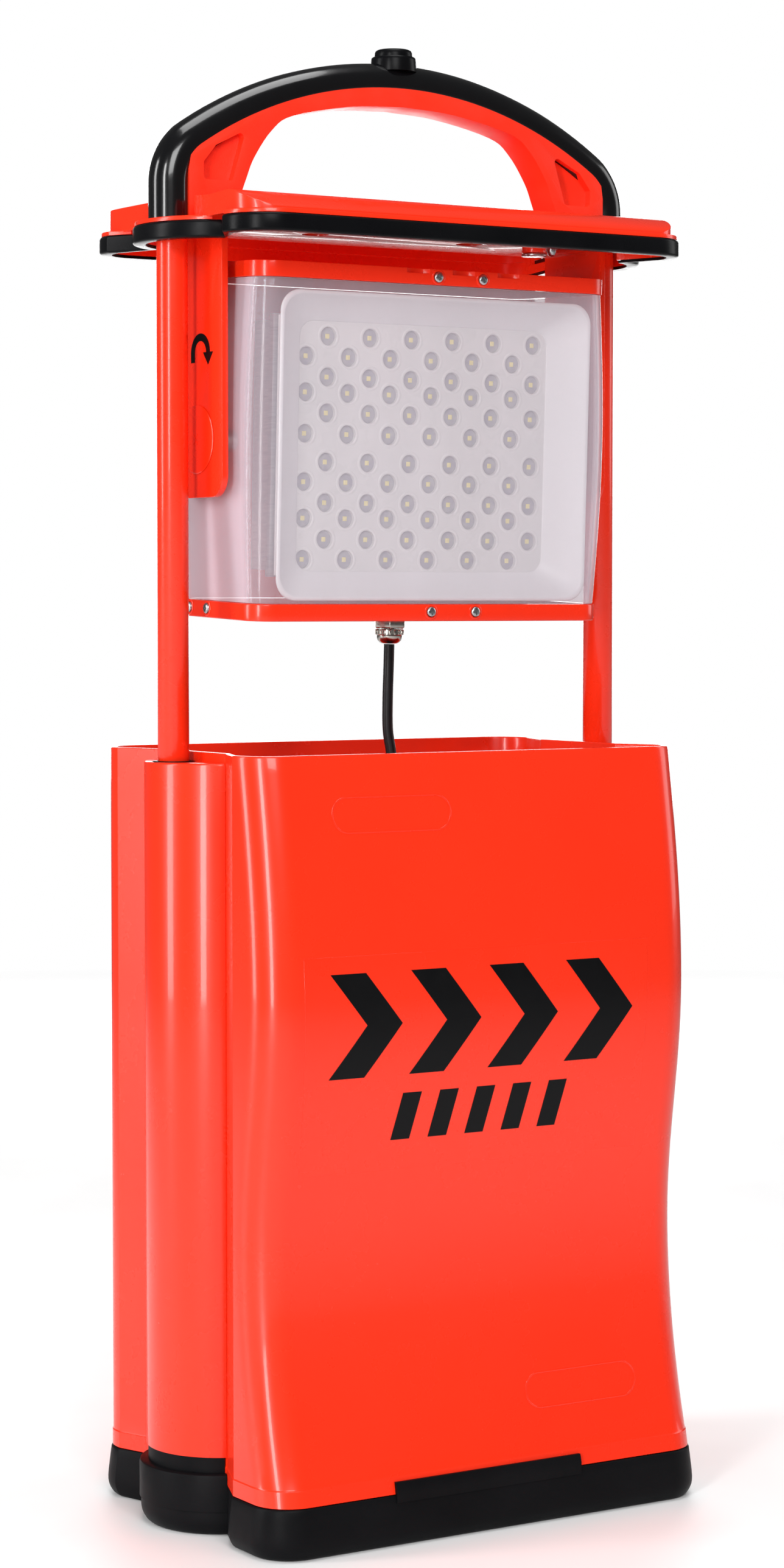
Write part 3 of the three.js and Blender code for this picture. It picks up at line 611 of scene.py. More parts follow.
def floor_finish():
    """Pale floor that fades out towards its edge."""
    material = finish("Pale floor", (0.9, 0.9, 0.9), (0.88, 0.88, 0.88), (0.55, 0.65), 3, 200, 0.01, 2)
    tree = material.node_tree
    spot = tree.nodes["Texture Coordinate"].outputs["Object"]
    away = tree.nodes.new("ShaderNodeVectorMath")
    away.operation = "LENGTH"
    tree.links.new(spot, away.inputs[0])
    fade = ramp(tree, away.outputs["Value"], 1, 0, 0.8, FLOOR_RADIUS * MM * 0.98)
    tree.links.new(fade, tree.nodes["Principled BSDF"].inputs["Alpha"])
    return material


def window_finish(tint):
    """Clear plastic: nearly invisible face on and milky at a glance, where its near-white tint is a painted
    reflection over the plastic's faint own tint; with faint upright draw lines.
    """
    material = finish("Window clear", tint, tuple(c * 0.9 for c in tint), (0.07, 0.2), 60, 700, 0.012, 20,
                      {"Coat Weight": 0.6, "Coat Roughness": 0.05, "IOR": 1.5}, stretch=(1, 1, 0.08))
    tree = material.node_tree
    # Alpha rises at a glance so that the near-white tint shows there: a painted reflection of the lights.
    facing = add(tree, "ShaderNodeLayerWeight", Blend=0.42).outputs["Facing"]
    tree.links.new(ramp(tree, facing, 0.16, 0.78, 0.15, 0.95), tree.nodes["Principled BSDF"].inputs["Alpha"])
    return material


# ---------------------------------------------------------------- settings

class CaseSettings(bpy.types.PropertyGroup):
    """Colours and gloss of the case and its rubber."""

    colour: FloatVectorProperty(
        name="Shell colour", description="Colour of the moulded shell, lid and head", subtype="COLOR", size=3,
        min=0, max=1, default=(0.93, 0.030, 0.006))
    rubber_colour: FloatVectorProperty(
        name="Rubber colour", description="Colour of the boot, trim and sleeve", subtype="COLOR", size=3,
        min=0, max=1, default=(0.0035, 0.0036, 0.0042))
    gloss: FloatProperty(
        name="Gloss", description="Strength of the clear gloss over the shell", subtype="FACTOR",
        min=0, max=1, default=0.28)
    edge: FloatProperty(
        name="Edge radius", description="Rounding of the moulded edges, in millimetres",
        min=0.1, max=3, default=0.9)


class HeadSettings(bpy.types.PropertyGroup):
    """Sizes and colours of the lamp head."""

    # Near-white lilac: the window's faint own tint, lightened to paint in the reflection seen at a glance.
    window_tint_and_sheen: FloatVectorProperty(
        name="Window tint", description="Colour of the clear window where it is seen at a glance",
        subtype="COLOR", size=3, min=0, max=1, default=(0.97, 0.88, 0.98))
    well_radius: FloatProperty(
        name="Well radius", description="Radius of each LED well, in millimetres", min=3, max=8, default=6.2)
    well_depth: FloatProperty(
        name="Well depth", description="Depth of each LED well, in millimetres", min=0.5, max=3, default=2.4)


class StageSettings(bpy.types.PropertyGroup):
    """Light and camera."""

    key_power: FloatProperty(
        name="Key light", description="Power of the large key light", unit="POWER",
        min=0, max=2000, default=106)
    world_light: FloatProperty(
        name="Surround", description="Light from the white surround", min=0, max=5, default=0.1)
    backdrop: FloatProperty(
        name="Backdrop", description="Brightness of the backdrop in view", min=0, max=5, default=1.0)
    lens: FloatProperty(
        name="Lens", description="Focal length of the camera", subtype="DISTANCE_CAMERA", unit="CAMERA",
        min=20, max=400, default=81.615)


class FloodlightSettings(bpy.types.PropertyGroup):
    """All settings of the floodlight."""

    case: PointerProperty(type=CaseSettings, name="Case", description="Case colours and gloss")
    head: PointerProperty(type=HeadSettings, name="Head", description="Lamp head sizes and colours")
    stage: PointerProperty(type=StageSettings, name="Stage", description="Light and camera")


# ---------------------------------------------------------------- operators

class FLOODLIGHT_OT_finishes(bpy.types.Operator):
    """Make the finishes that the pieces share"""

    bl_idname = "floodlight.finishes"
    bl_label = "Make finishes"

    def execute(self, context):
        make_finishes(context.scene.floodlight)
        return {"FINISHED"}


class FLOODLIGHT_OT_case(bpy.types.Operator):
    """Build the case shell with its swelling front, its open rim and its two columns"""

    bl_idname = "floodlight.case"
    bl_label = "Build case"

    def execute(self, context):
        orange = "moulded orange"
        levels = [(CASE_LOW, -1.5), (BAND_LOW - 0.3, -1.5), (BAND_LOW - 0.1, -0.2), (BAND_LOW + 0.4, 0.5),
                  (BAND_HIGH - 0.5, 0.5), (BAND_HIGH, 0.1)]
        rings = [at_height(case_outline(z, grow), z) for z, grow in levels]
        rows = 48
        for i in range(rows + 1):
            z = BAND_HIGH + 0.6 + (CASE_RIM - 1.4 - BAND_HIGH - 0.6) * i / rows
            rings.append(at_height(case_outline(z), z))
        for a in (30, 60, 90):
            rings.append(at_height(case_outline(CASE_RIM, -1 + math.cos(math.radians(a))),
                                   CASE_RIM - 1 + math.sin(math.radians(a))))
        for a in (90, 60, 30, 0):
            rings.append(at_height(case_outline(CASE_RIM, -2.5 - math.cos(math.radians(a))),
                                   CASE_RIM - 1 + math.sin(math.radians(a))))
        for z in (445, 395, 342, 285, 230, 190, 150, 110, 70, 40, CASE_LOW + 3):
            rings.append(at_height(case_outline(z, -3.5), z))
        shell = skin("case_body", rings)
        hole = bore(13.3, -12, 12, 40, (0, CASE_BACK, INLET_Z), "Y")
        carve(shell, hole)
        soften(shell, 0, angle=32)
        place(shell, "case_body", "root", orange, ["case_shell"])
        for side, word in SIDES:
            rings = [at_height(column_outline(side, g), z)
                     for z, g in ((COLUMN_LOW, 0), (COLUMN_TOP - 1.5, 0), (COLUMN_TOP - 0.8, -0.15),
                                  (COLUMN_TOP - 0.25, -0.6), (COLUMN_TOP, -1.3))]
            column = skin("column", rings)
            carve(column, prism("tool", column_outline(side, -2.6, WAIST_HALF + 1.5), COLUMN_LOW - 2,
                                COLUMN_TOP - 3))
            well = bore(14, 486.6, 500, 40, tube_foot(side))
            carve(column, well)
            soften(column, 0.5, 2, 50)
            place(column, "column_shell_" + word, "root", orange, ["column_" + word])
            bush = turned("bush", [
                (10.4, 476), (11.4, 476), (11.4, 489.4), (13.7, 489.4), (13.7, 492.7), (13.2, 493.2),
                (11.2, 493.2), (10.4, 492.4)], 44, tube_foot(side))
            wall = block("tool", side * 100 - 53.3, side * 100 + 53.3, -60, 60, 400, 600)
            carve(bush, wall)
            soften(bush, 0, angle=40)
            place(bush, "column_bush_" + word, "root", "satin rubber",
                  ["mast_bush_" + word])
        return {"FINISHED"}


class FLOODLIGHT_OT_boot(bpy.types.Operator):
    """Build the black rubber boot under the case"""

    bl_idname = "floodlight.boot"
    bl_label = "Build boot"

    def execute(self, context):
        profile = [(0, -3.5), (0.5, -1.2), (2, 0.6), (4.5, 2.2), (7, 3.2), (9.5, 3.55), (12, 3.6), (16, 3.3),
                   (20, 2.8), (26, 2.1), (31.2, 1.4), (32.2, 1.0), (32.7, 0.4)]
        boot = skin("boot", [at_height(case_outline(z, g, True), z) for z, g in profile])
        for side in (-1, 1):
            low = column_outline(side, 4.6, WAIST_HALF - 1)
            foot = skin("tool", [at_height(low, 16), at_height(low, 37.6),
                                 at_height(column_outline(side, 4.1, WAIST_HALF - 1), 39.2),
                                 at_height(column_outline(side, 2.9, WAIST_HALF - 1), 40)])
            carve(boot, foot, "UNION")
            core = column_outline(side, -1.2, WAIST_HALF - 2)
            carve(boot, prism("tool", core, 30, COLUMN_LOW - 0.3), "UNION")
        tab = skin("tool", [at_height(case_outline(z, 2.6, True), z) for z in (28, 32, 36, 40, 41)])
        carve(tab, block("tool2", -77, 65, -150, 150, 20, 60), "INTERSECT")
        carve(boot, tab, "UNION")
        carve(boot, skin("tool", [at_height(case_outline(z, -1.2), z) for z in (6, 14, 24, 32.7)]))
        carve(boot, skin("tool", [at_height(case_outline(z, 0.8), z) for z in (32.6, 42, 52)]))
        for side in (-1, 1):
            carve(boot, bore(12, 8, 60, 32, tube_foot(side)))
        soften(boot, 0, angle=38)
        place(boot, "boot_shell", "root", "boot rubber", ["rubber_boot"])
        return {"FINISHED"}


def on_front(points, proud):
    """Lays (x, z) points on the case's front panel, a little proud of it."""
    return [(x, CASE_FRONT - front_swell(z) - proud, z) for x, z in points]


def front_bar(name, low, high, left, right, thick=0.22, rows=16):
    """A thin strip on the front panel between two heights; left and right give its edges at low and high."""
    rings = []
    for i in range(rows + 1):
        t = i / rows
        z = low + (high - low) * t
        x0 = left[0] + (left[1] - left[0]) * t
        x1 = right[0] + (right[1] - right[0]) * t
        rings.append(on_front([(x0, z), (x1, z)], -0.05) + on_front([(x1, z), (x0, z)], thick))
    return skin(name, rings)


def joined(name, parts):
    """Joins parts into one object."""
    work = bmesh.new()
    for part in parts:
        work.from_mesh(part.data)
        bpy.data.objects.remove(part)
    mesh = bpy.data.meshes.new(name)
    work.to_mesh(mesh)
    work.free()
    obj = bpy.data.objects.new(name, mesh)
    bpy.context.scene.collection.objects.link(obj)
    return obj


def pill_rim(name, x0, x1, z0, z1, width=1.0, proud=0.35):
    """A thin raised pill-shaped rim on the front panel."""
    middle = (x0 + x1) / 2
    half = (x1 - x0) / 2
    radius = (z1 - z0) / 2
    levels = ((0, -0.1), (0, proud * 0.6), (0.3, proud),
              (width - 0.3, proud), (width, proud * 0.6), (width, -0.1))
    rings = []
    for inset, out in levels:
        plan = rounded_box(half - inset, z0 + inset, z1 - inset, radius - inset - 0.01, 12)
        rings.append(on_front([(middle + x, z) for x, z in plan], out))
    return skin(name, rings, closed=True)


class FLOODLIGHT_OT_marks(bpy.types.Operator):
    """Lay the plain graphic, its clear film and the blank label rims on the front panel"""

    bl_idname = "floodlight.marks"
    bl_label = "Build front marks"

    def execute(self, context):
        film = front_bar("film", 236, 374, (-136, -138), (122, 125), 0.12, 40)
        soften(film, 0.05, 1, 40)
        place(film, "front_film", "root", "lid orange")
        bars = []
        low, high = 297, 363
        middle = (low + high) / 2
        stroke, reach = 26, 27
        for k in range(4):
            x = -119 + k * 59.5
            bars.append(front_bar("bar", middle, high, (x + reach, x), (x + reach + stroke, x + stroke), 0.3))
            bars.append(front_bar("bar", low, middle, (x, x + reach), (x + stroke, x + reach + stroke), 0.3))
        low, high = 255, 285
        for k in range(5):
            x = -70 + k * 28
            bars.append(front_bar("bar", low, high, (x, x + 7), (x + 14, x + 21), 0.3))
        marks = joined("marks", bars)
        tidy(marks, False)
        soften(marks, 0, angle=40)
        place(marks, "front_marks", "root", "black vinyl")
        rims = joined("rims", [pill_rim("a", -112, -23, 450, 473), pill_rim("b", 30, 118, 72, 95)])
        soften(rims, 0, angle=60)
        place(rims, "label_rims", "root", "moulded orange")
        return {"FINISHED"}


class FLOODLIGHT_OT_inside(bpy.types.Operator):
    """Finish the battery, charger and deck in the case"""

    bl_idname = "floodlight.inside"
    bl_label = "Build case inside"

    def execute(self, context):
        from_frame("battery", "battery_pack", "root", "battery grey", 1.2)
        from_frame("charger_module", "charger_unit", "root", "aluminium", 0.5)
        from_frame("equipment_deck", "deck_plate", "root", "black plastic", 0.6)
        from_frame("deck_gland", "deck_cable_gland", "root", "black plastic", 0.4)
        return {"FINISHED"}


class FLOODLIGHT_OT_inlet(bpy.types.Operator):
    """Build the charging inlet and its ribbed cap on the back"""

    bl_idname = "floodlight.inlet"
    bl_label = "Build charging inlet"

    def execute(self, context):
        from_frame("charge_socket", "inlet_barrel", "root", "black plastic", 0.5)
        centre = (0, CASE_BACK, INLET_Z)
        cap = turned("cap", [
            (0, -5), (10.6, -5), (10.6, 2.8), (16, 2.8), (16, 6.6), (15.4, 7.6), (14.4, 8.4), (13, 8.8),
            (10, 8.9), (9.4, 8.4), (0, 8.2)], 48, centre, "Y")
        ribs = []
        for k in range(24):
            a = 2 * math.pi * k / 24
            out = Vector((math.sin(a), 0, math.cos(a)))
            ribs.append((Vector(centre) + out * 15.9 + Vector((0, 5, 0)), out))
        rib = block("rib", -0.8, 0.8, -1.9, 1.9, -0.4, 0.9)
        soften(rib, 0.3)
        knurl = scatter("knurl", rib, ribs, "satin rubber")
        both = joined("cap", [cap, knurl])
        soften(both, 0, angle=40)
        place(both, "inlet_cap", "root", "satin rubber", ["socket_cap"])
        return {"FINISHED"}


class FLOODLIGHT_OT_mast(bpy.types.Operator):
    """Build the mast tubes and their slide shoes"""

    bl_idname = "floodlight.mast"
    bl_label = "Build mast"

    def execute(self, context):
        for side, word in SIDES:
            tube = turned("tube", [(8.5, 360.4), (8.9, 360), (9.6, 360), (10, 360.4), (10, 836), (8.5, 836)],
                          56, tube_foot(side))
            soften(tube, 0, angle=50)
            place(tube, "mast_pole_" + word, "mast", "painted orange",
                  ["mast_tube_" + word])
            shoe = turned("shoe", [(0, 345), (9.6, 345), (10.4, 346), (10.4, 359), (9.8, 359.7), (8.2, 359.7),
                                   (8.2, 371.4), (7.6, 372), (0, 372)], 40, tube_foot(side))
            soften(shoe, 0, angle=40)
            place(shoe, "mast_shoe_" + word, "mast", "black plastic",
                  ["slide_shoe_" + word])
        return {"FINISHED"}


class FLOODLIGHT_OT_handle(bpy.types.Operator):
    """Build the carry handle: steel bow, glossy rubber sleeve and the orange grip moulding"""

    bl_idname = "floodlight.handle"
    bl_label = "Build handle"

    def execute(self, context):
        path = bow_path()
        bow = pipe("bow", path, TUBE_RADIUS, 8.5, 24)
        soften(bow, 0, angle=50)
        place(bow, "handle_core", "mast", "screw steel", ["handle_bow"])
        sleeve = pipe("sleeve", path, SLEEVE_RADIUS, 10.8, 40)
        soften(sleeve, 0, angle=50)
        place(sleeve, "handle_sleeve", "mast", "gloss rubber", ["grip_sleeve"])
        low = 836.6
        outer = [(BOW_X - 8, low), (BOW_X - 8, 868)]
        outer += [(158 - 158 * i / 24, crown_height(158 - 158 * i / 24)) for i in range(25)]
        inner = [(p.x, p.y) for p in smooth_path([(x, z, 0) for x, z in GRIP_OPENING], 5)]
        outline = [(NOTCH_X + 0.6, low), *outer]
        outline += [(-x, z) for x, z in reversed(outer[:-1])]
        outline += [(-NOTCH_X - 0.6, low), (-NOTCH_X - 0.6, inner[0][1])]
        outline += [(-x, z) for x, z in inner]
        outline += list(reversed(inner[:-1]))
        outline += [(NOTCH_X + 0.6, inner[0][1])]
        grip = prism("grip", outline, -GRIP_DEPTH, GRIP_DEPTH, "Y")
        carve(grip, pipe("tool", path, SLEEVE_RADIUS + 0.1, 0, 40))
        for side in (-1, 1):
            ring = filleted([(side * x, z, 2.5, 4) for x, z in POCKET])
            for low_y, high_y in ((-20, -6.5), (6.5, 20)):
                carve(grip, prism("tool", ring, low_y, high_y, "Y"))
        soften(grip, 1.1, 3, 40)
        place(grip, "handle_grip", "mast", "gripped orange", ["grip_moulding"])
        return {"FINISHED"}


class FLOODLIGHT_OT_switch(bpy.types.Operator):
    """Build the rubber switch collar and the push button on the crown"""

    bl_idname = "floodlight.switch"
    bl_label = "Build switch"

    def execute(self, context):
        collar = turned("collar", [
            (0, 942), (15.3, 942), (15.3, 944), (14.9, 949.5), (14.5, 951), (13.9, 951.5), (13.2, 951.3),
            (12.9, 950.6), (12.9, 947.35), (0, 947.35)], 56)
        carve(collar, pipe("tool", bow_path(), SLEEVE_RADIUS + 0.1, 0, 40))
        soften(collar, 0, angle=40)
        place(collar, "switch_skirt", "mast", "satin rubber", ["switch_collar"])
        button = turned("button", [
            (0, 949.6), (12.6, 949.6), (12.55, 953), (12.3, 954.6), (11.6, 955.8), (10.4, 956.4), (8, 956.5),
            (4, 956.2), (0, 956.1)], 56)
        soften(button, 0, angle=50)
        place(button, "switch_cap", "button", "satin rubber", ["switch_button"])
        return {"FINISHED"}


def dome(inset, low):
    """The lid's dome as a solid: its plan crossed with its front-to-back section."""
    front, back = DOME_SECTION[0][0], DOME_SECTION[-1][0]
    middle = (front + back) / 2
    shrink = (back - front - 2 * inset) / (back - front)
    knots = [(middle + (y - middle) * shrink, z - inset, 0) for y, z in DOME_SECTION]
    section = [(p.x, p.y) for p in smooth_path(knots, 4)]
    profile = [(section[0][0], low - 1), *section, (section[-1][0], low - 1)]
    plan = rounded_box(DOME_HALF - inset, front + inset, back - inset, DOME_CORNER, 12)
    body = prism("dome", plan, low, 870)
    carve(body, prism("tool", profile, -200, 200, "X"), "INTERSECT")
    notch = NOTCH_DEPTH + inset
    for side in (-1, 1):
        x0, x1 = sorted((side * (NOTCH_X - inset), side * 200))
        carve(body, block("tool", x0, x1, -notch, notch, 820, 880))
    return body


class FLOODLIGHT_OT_lid(bpy.types.Operator):
    """Build the domed lid, its rubber trim and the fittings under it"""

    bl_idname = "floodlight.lid"
    bl_label = "Build lid"

    def execute(self, context):
        orange = "lid orange"
        lid = dome(0, 835)
        modifier = lid.modifiers.new("round", "BEVEL")
        modifier.width = 2.6 * MM
        modifier.segments = 4
        modifier.limit_method = "ANGLE"
        modifier.angle_limit = math.radians(38)
        settle(lid)
        skirt = skin("tool", [at_height(case_outline(CASE_RIM, -0.3, True), z) for z in (824, 836)])
        ledge = skin("tool2", [at_height(case_outline(CASE_RIM, g, True), z) for z, g in (
            (833.3, TRIM_PROUD - 1.2), (835.4, TRIM_PROUD - 1.2), (835.85, TRIM_PROUD - 1.45),
            (836, TRIM_PROUD - 1.9))])
        carve(lid, skirt, "UNION")
        carve(lid, ledge, "UNION")
        carve(lid, prism("tool", case_outline(CASE_RIM, -3.3, True), 823, 833))
        carve(lid, dome(3, 830))
        for side in (-1, 1):
            carve(lid, bore(10.3, 820, 860, 48, tube_foot(side)))
        soften(lid, 0, angle=33)
        place(lid, "lid_shell", "mast", orange, ["lid"])
        section = [(822, -2), (822, TRIM_PROUD - 1.4), (822.25, TRIM_PROUD - 0.7), (822.8, TRIM_PROUD - 0.2),
                   (823.6, TRIM_PROUD), (831.2, TRIM_PROUD), (832.2, TRIM_PROUD - 0.25),
                   (832.8, TRIM_PROUD - 0.8), (833, TRIM_PROUD - 1.6), (833, 0), (823.7, 0), (823.7, -2)]
        trim = skin("trim", [at_height(case_outline(CASE_RIM, g, True), z) for z, g in section], closed=True)
        soften(trim, 0, angle=50)
        place(trim, "lid_bumper", "mast", "satin rubber", ["lid_trim"])
        from_frame("lid_bridge", "lid_tie_plate", "mast", "painted orange", 0.5)
        from_frame("buffer_post", "buffer_stub", "mast", "painted orange", 0.4)
        from_frame("buffer_pad", "buffer_disc", "mast", "screw steel", 0.3)
        from_frame("detent_plunger", "detent_pin", "mast", "screw steel", 0.2)
        return {"FINISHED"}


class FLOODLIGHT_OT_arms(bpy.types.Operator):
    """Build the two arms that carry the head, their pivot caps and the direction arrow"""

    bl_idname = "floodlight.arms"
    bl_label = "Build arms"

    def execute(self, context):
        for side, word in SIDES:
            x0, x1 = sorted((side * ARM_INNER, side * ARM_OUTER))
            outline = filleted([(-32.4, 661, 14, 10), (32.4, 661, 14, 10),
                                (32.4, 832.7, 0, 0), (-32.4, 832.7, 0, 0)])
            arm = prism("arm", outline, x0, x1, "X")
            f0, f1 = sorted((side * (ARM_INNER - 16), side * (ARM_OUTER - 0.5)))
            carve(arm, block("tool", f0, f1, -30, 30, 830.5, 832.7), "UNION")
            carve(arm, bore(7.3, -160, 160, 32, (0, 0, PIVOT_Z), "X"))
            soften(arm, context.scene.floodlight.case.edge, 3, 40)
            place(arm, "arm_plate_" + word, "mast", "lid orange", ["head_arm_" + word])
            face = ARM_OUTER + 0.3
            cap = turned("cap", [
                (0, side * face), (21.8, side * face), (21.8, side * (face + 0.25)),
                (21.4, side * (face + 0.48)), (20.8, side * (face + 0.6)), (5, side * (face + 0.6)),
                (0, side * (face + 0.6))], 72,
                (0, 0, PIVOT_Z), "X")
            for turn in (-35, 35):
                groove = block("tool", side * (face + 0.3), side * (face + 2), -4.2, 4.2, -0.45, 0.45)
                groove.data.transform(Matrix.Rotation(math.radians(90 - turn), 4, "X"))
                groove.data.transform(Matrix.Translation((0, 0, PIVOT_Z * MM)))
                tidy(groove)
                carve(cap, groove)
            soften(cap, 0, angle=40)
            place(cap, "pivot_disc_" + word, "mast", "lid orange", ["pivot_cap_" + word])
        x = -ARM_OUTER
        mid, spring = -4.7, 753.0
        outline = [(mid + 12.2, 747), *arc(mid, spring, 12.2, 0, 180, 24), *arc(mid, spring, 7.4, 180, 0, 24),
                   (mid + 7.4, 747)]
        shaft = prism("arrow", outline, x - 0.18, x + 0.05, "X")
        tip = prism("tip", [(mid - 16.2, 753), (mid - 3.4, 753), (mid - 9.8, 745)], x - 0.18, x + 0.05, "X")
        arrow = joined("arrow", [shaft, tip])
        soften(arrow, 0)
        place(arrow, "arm_arrow", "mast", "black vinyl")
        return {"FINISHED"}


def head_wall(name, front):
    """One half of the head's barrel wall: the window in front or the cover behind."""
    rings = []
    rows = 26
    for i in range(rows + 1):
        t = i / rows
        swell = WALL_SWELL * math.sin(math.pi * t) - 1
        half, depth, corner = HEAD_HALF + swell, HEAD_DEPTH + swell, HEAD_CORNER + swell
        side, face, seam = (1, -depth, WALL_SEAM) if front else (-1, depth, WALL_SEAM + 0.3)
        inward = WALL_THICK if front else -WALL_THICK
        outline = filleted([
            (side * half, seam, 0, 0), (side * half, face, corner, 8), (-side * half, face, corner, 8),
            (-side * half, seam, 0, 0), (-side * (half - WALL_THICK), seam, 0, 0),
            (-side * (half - WALL_THICK), face + inward, corner - WALL_THICK, 8),
            (side * (half - WALL_THICK), face + inward, corner - WALL_THICK, 8),
            (side * (half - WALL_THICK), seam, 0, 0)])
        rings.append(at_height(outline, WALL_LOW + (WALL_HIGH - WALL_LOW) * t))
    return skin(name, rings)


class FLOODLIGHT_OT_head(bpy.types.Operator):
    """Build the head's frames, clear window, rear cover and pivots"""

    bl_idname = "floodlight.head"
    bl_label = "Build head shell"

    def execute(self, context):
        orange = "lid orange"
        plan = rounded_box(HEAD_HALF, -HEAD_DEPTH, HEAD_DEPTH, HEAD_CORNER, 10)
        inner = rounded_box(HEAD_HALF - 7, -HEAD_DEPTH + 7, HEAD_DEPTH - 7, HEAD_CORNER - 7, 8)
        top = prism("top", plan, 801, 811)
        carve(top, prism("tool", inner, 800, 808))
        for x in (-18, 17, 52):
            carve(top, bore(14, 808, 812, 40, (x, -HEAD_DEPTH - 11, 0)))
        soften(top, 1.0, 3, 40)
        place(top, "head_top_rail", "head", orange, ["head_top_frame"], True)
        bottom = prism("bottom", plan, 584, 595)
        carve(bottom, prism("tool", inner, 587, 596))
        carve(bottom, bore(8.3, 583, 588, 32))
        soften(bottom, 1.0, 3, 40)
        place(bottom, "head_bottom_rail", "head", orange, ["head_bottom_frame"], True)
        window = head_wall("window", True)
        soften(window, 0.4, 2, 50)
        place(window, "clear_window", "head", "window clear", ["window"], True)
        cover = head_wall("cover", False)
        ribs = [((-100 + 25 * k, HEAD_DEPTH, PIVOT_Z), (0, 1, 0)) for k in range(9)]
        rings = []
        for i in range(17):
            v = -80 + 10 * i
            face = WALL_SWELL * math.sin(math.pi * (PIVOT_Z + v - WALL_LOW) / 205.4) - 1
            rings.append([(v, -1.5, face - 1.5), (v, 1.5, face - 1.5),
                          (v, 1.2, face + 1.2), (v, -1.2, face + 1.2)])
        rib = skin("rib", rings)
        soften(rib, 0.5, 2)
        raised = scatter("ribs", rib, ribs, orange)
        cover = joined("cover", [cover, raised])
        soften(cover, 0, angle=35)
        place(cover, "head_back_cover", "head", orange, ["rear_cover"], True)
        for word in ("left", "right"):
            from_frame("pivot_pin_" + word, "pivot_shaft_" + word, "head", "screw steel", 0.4)
        return {"FINISHED"}


def led_places():
    """Centres of the LEDs: rows at uneven heights, every other row shifted half a step."""
    return [(LED_STARTS[row % 2] + LED_PITCH * k, z) for row, z in enumerate(LED_ROWS) for k in range(6)]


class FLOODLIGHT_OT_lamp(bpy.types.Operator):
    """Build the white reflector, the LED plate with its wells and the parts behind it"""

    bl_idname = "floodlight.lamp"
    bl_label = "Build lamp"

    def execute(self, context):
        settings = context.scene.floodlight.head
        radius, depth = settings.well_radius, settings.well_depth
        rim_y = -49.4

        def outline(half_x, half_z, corner, y):
            return [(TRAY_X + x, y, TRAY_Z + z) for x, z in rounded_box(half_x, -half_z, half_z, corner, 8)]

        levels = [
            (95.5, 80, 10, PLATE_Y + 0.4), (95.6, 80.1, 10, PLATE_Y), (96.4, 80.8, 10.2, PLATE_Y - 0.5),
            (116.3, 95.3, 13.4, rim_y + 1.2), (116.9, 95.9, 13.8, rim_y + 0.35), (117.6, 96.6, 14, rim_y),
            (118.9, 97.9, 14, rim_y), (119.4, 98.4, 14, rim_y + 0.5), (119.5, 98.5, 14, rim_y + 1.4),
            (118.2, 97.4, 14, rim_y + 3.6), (98, 82.4, 12.4, PLATE_Y + 0.4),
        ]
        tray = skin("tray", [outline(*level) for level in levels], closed=True)
        soften(tray, 0, angle=50)
        place(tray, "reflector", "head", "reflector white", ["reflector_tray"], True)

        front = PLATE_Y + 0.3
        plate = prism("plate", [(TRAY_X + x, TRAY_Z + z) for x, z in rounded_box(97.5, -82, 82, 11, 8)],
                      front, front + 3, "Y")
        drills = [((x, front, z), (0, -1, 0)) for x, z in led_places()]
        drill = turned("drill", [(0, -depth), (radius - 0.4, -depth), (radius, 1), (0, 1)], 32)
        carve(plate, scatter("drills", drill, drills, "lens white"))
        soften(plate, 0, angle=30)
        place(plate, "led_plate", "head", "lens white", ["lens_plate"], True)

        rim = turned("rim", [
            (radius + 0.02, -0.6), (radius + 0.02, 0.02), (radius + 0.25, 0.2), (radius + 0.7, 0.3),
            (radius + 1.3, 0.22), (radius + 1.9, 0.05), (radius + 2.2, -0.1)], 40)
        rims = scatter("rims", rim, drills, "lens white")
        place(rims, "led_rims", "head", "lens white", [], True)
        lens = turned("lens", [
            (0, -depth + 0.05), (radius - 0.45, -depth + 0.05), (radius - 0.45, -depth + 0.25),
            (radius * 0.7, -depth + 0.5), (radius * 0.35, -depth + 0.62), (0, -depth + 0.66)], 32)
        lenses = scatter("lenses", lens, drills, "lens grey")
        place(lenses, "led_lenses", "head", "lens grey", [], True)
        chip = block("chip", -1.5, 1.5, -1.5, 1.5, -depth + 0.5, -depth + 0.95)
        soften(chip, 0.2, 2)
        chips = scatter("chips", chip, drills, "phosphor yellow")
        place(chips, "led_chips", "head", "phosphor yellow", [], True)
        from_frame("led_board", "led_circuit_board", "head", "reflector white", 0.3)
        from_frame("heat_sink", "lamp_heat_sink", "head", "aluminium", 0.3)
        from_frame("led_driver", "lamp_driver", "head", "black plastic", 1.0)
        return {"FINISHED"}


class FLOODLIGHT_OT_screws(bpy.types.Operator):
    """Put the eight cross-recessed screws round the window"""

    bl_idname = "floodlight.screws"
    bl_label = "Build screws"

    def execute(self, context):
        screw = turned("screw", [(0, -6), (1.6, -6), (1.6, 0.1), (3.4, 0.1), (3.4, 0.8), (3.1, 1.3),
                                 (2.4, 1.7), (1.2, 1.85), (0, 1.9)], 24)
        for turn in (0, 90):
            slot = block("tool", -2.1, 2.1, -0.42, 0.42, 0.9, 3)
            slot.data.transform(Matrix.Rotation(math.radians(turn), 4, "Z"))
            carve(screw, slot)
        places = [((x, -HEAD_DEPTH, z), (0, -1, 0)) for z in SCREW_Z for x in SCREW_X]
        for side in (-1, 1):
            places += [((side * HEAD_HALF, y, SCREW_Z[1]), (side, 0, 0)) for y in SCREW_SIDE_Y]
        screws = scatter("screws", screw, places, "screw steel")
        nodes = ["window_screw_%d" % (k + 1) for k in range(8)]
        place(screws, "frame_screws", "head", "screw steel", nodes, True)
        boss = turned("boss", [(3.5, -0.3), (3.5, 0.3), (3.8, 0.55), (4.6, 0.55), (5.0, 0.3), (5.0, -0.3)],
                      32)
        bosses = scatter("bosses", boss, places, "lid orange")
        place(bosses, "screw_bosses", "head", "lid orange", [], True)
        return {"FINISHED"}


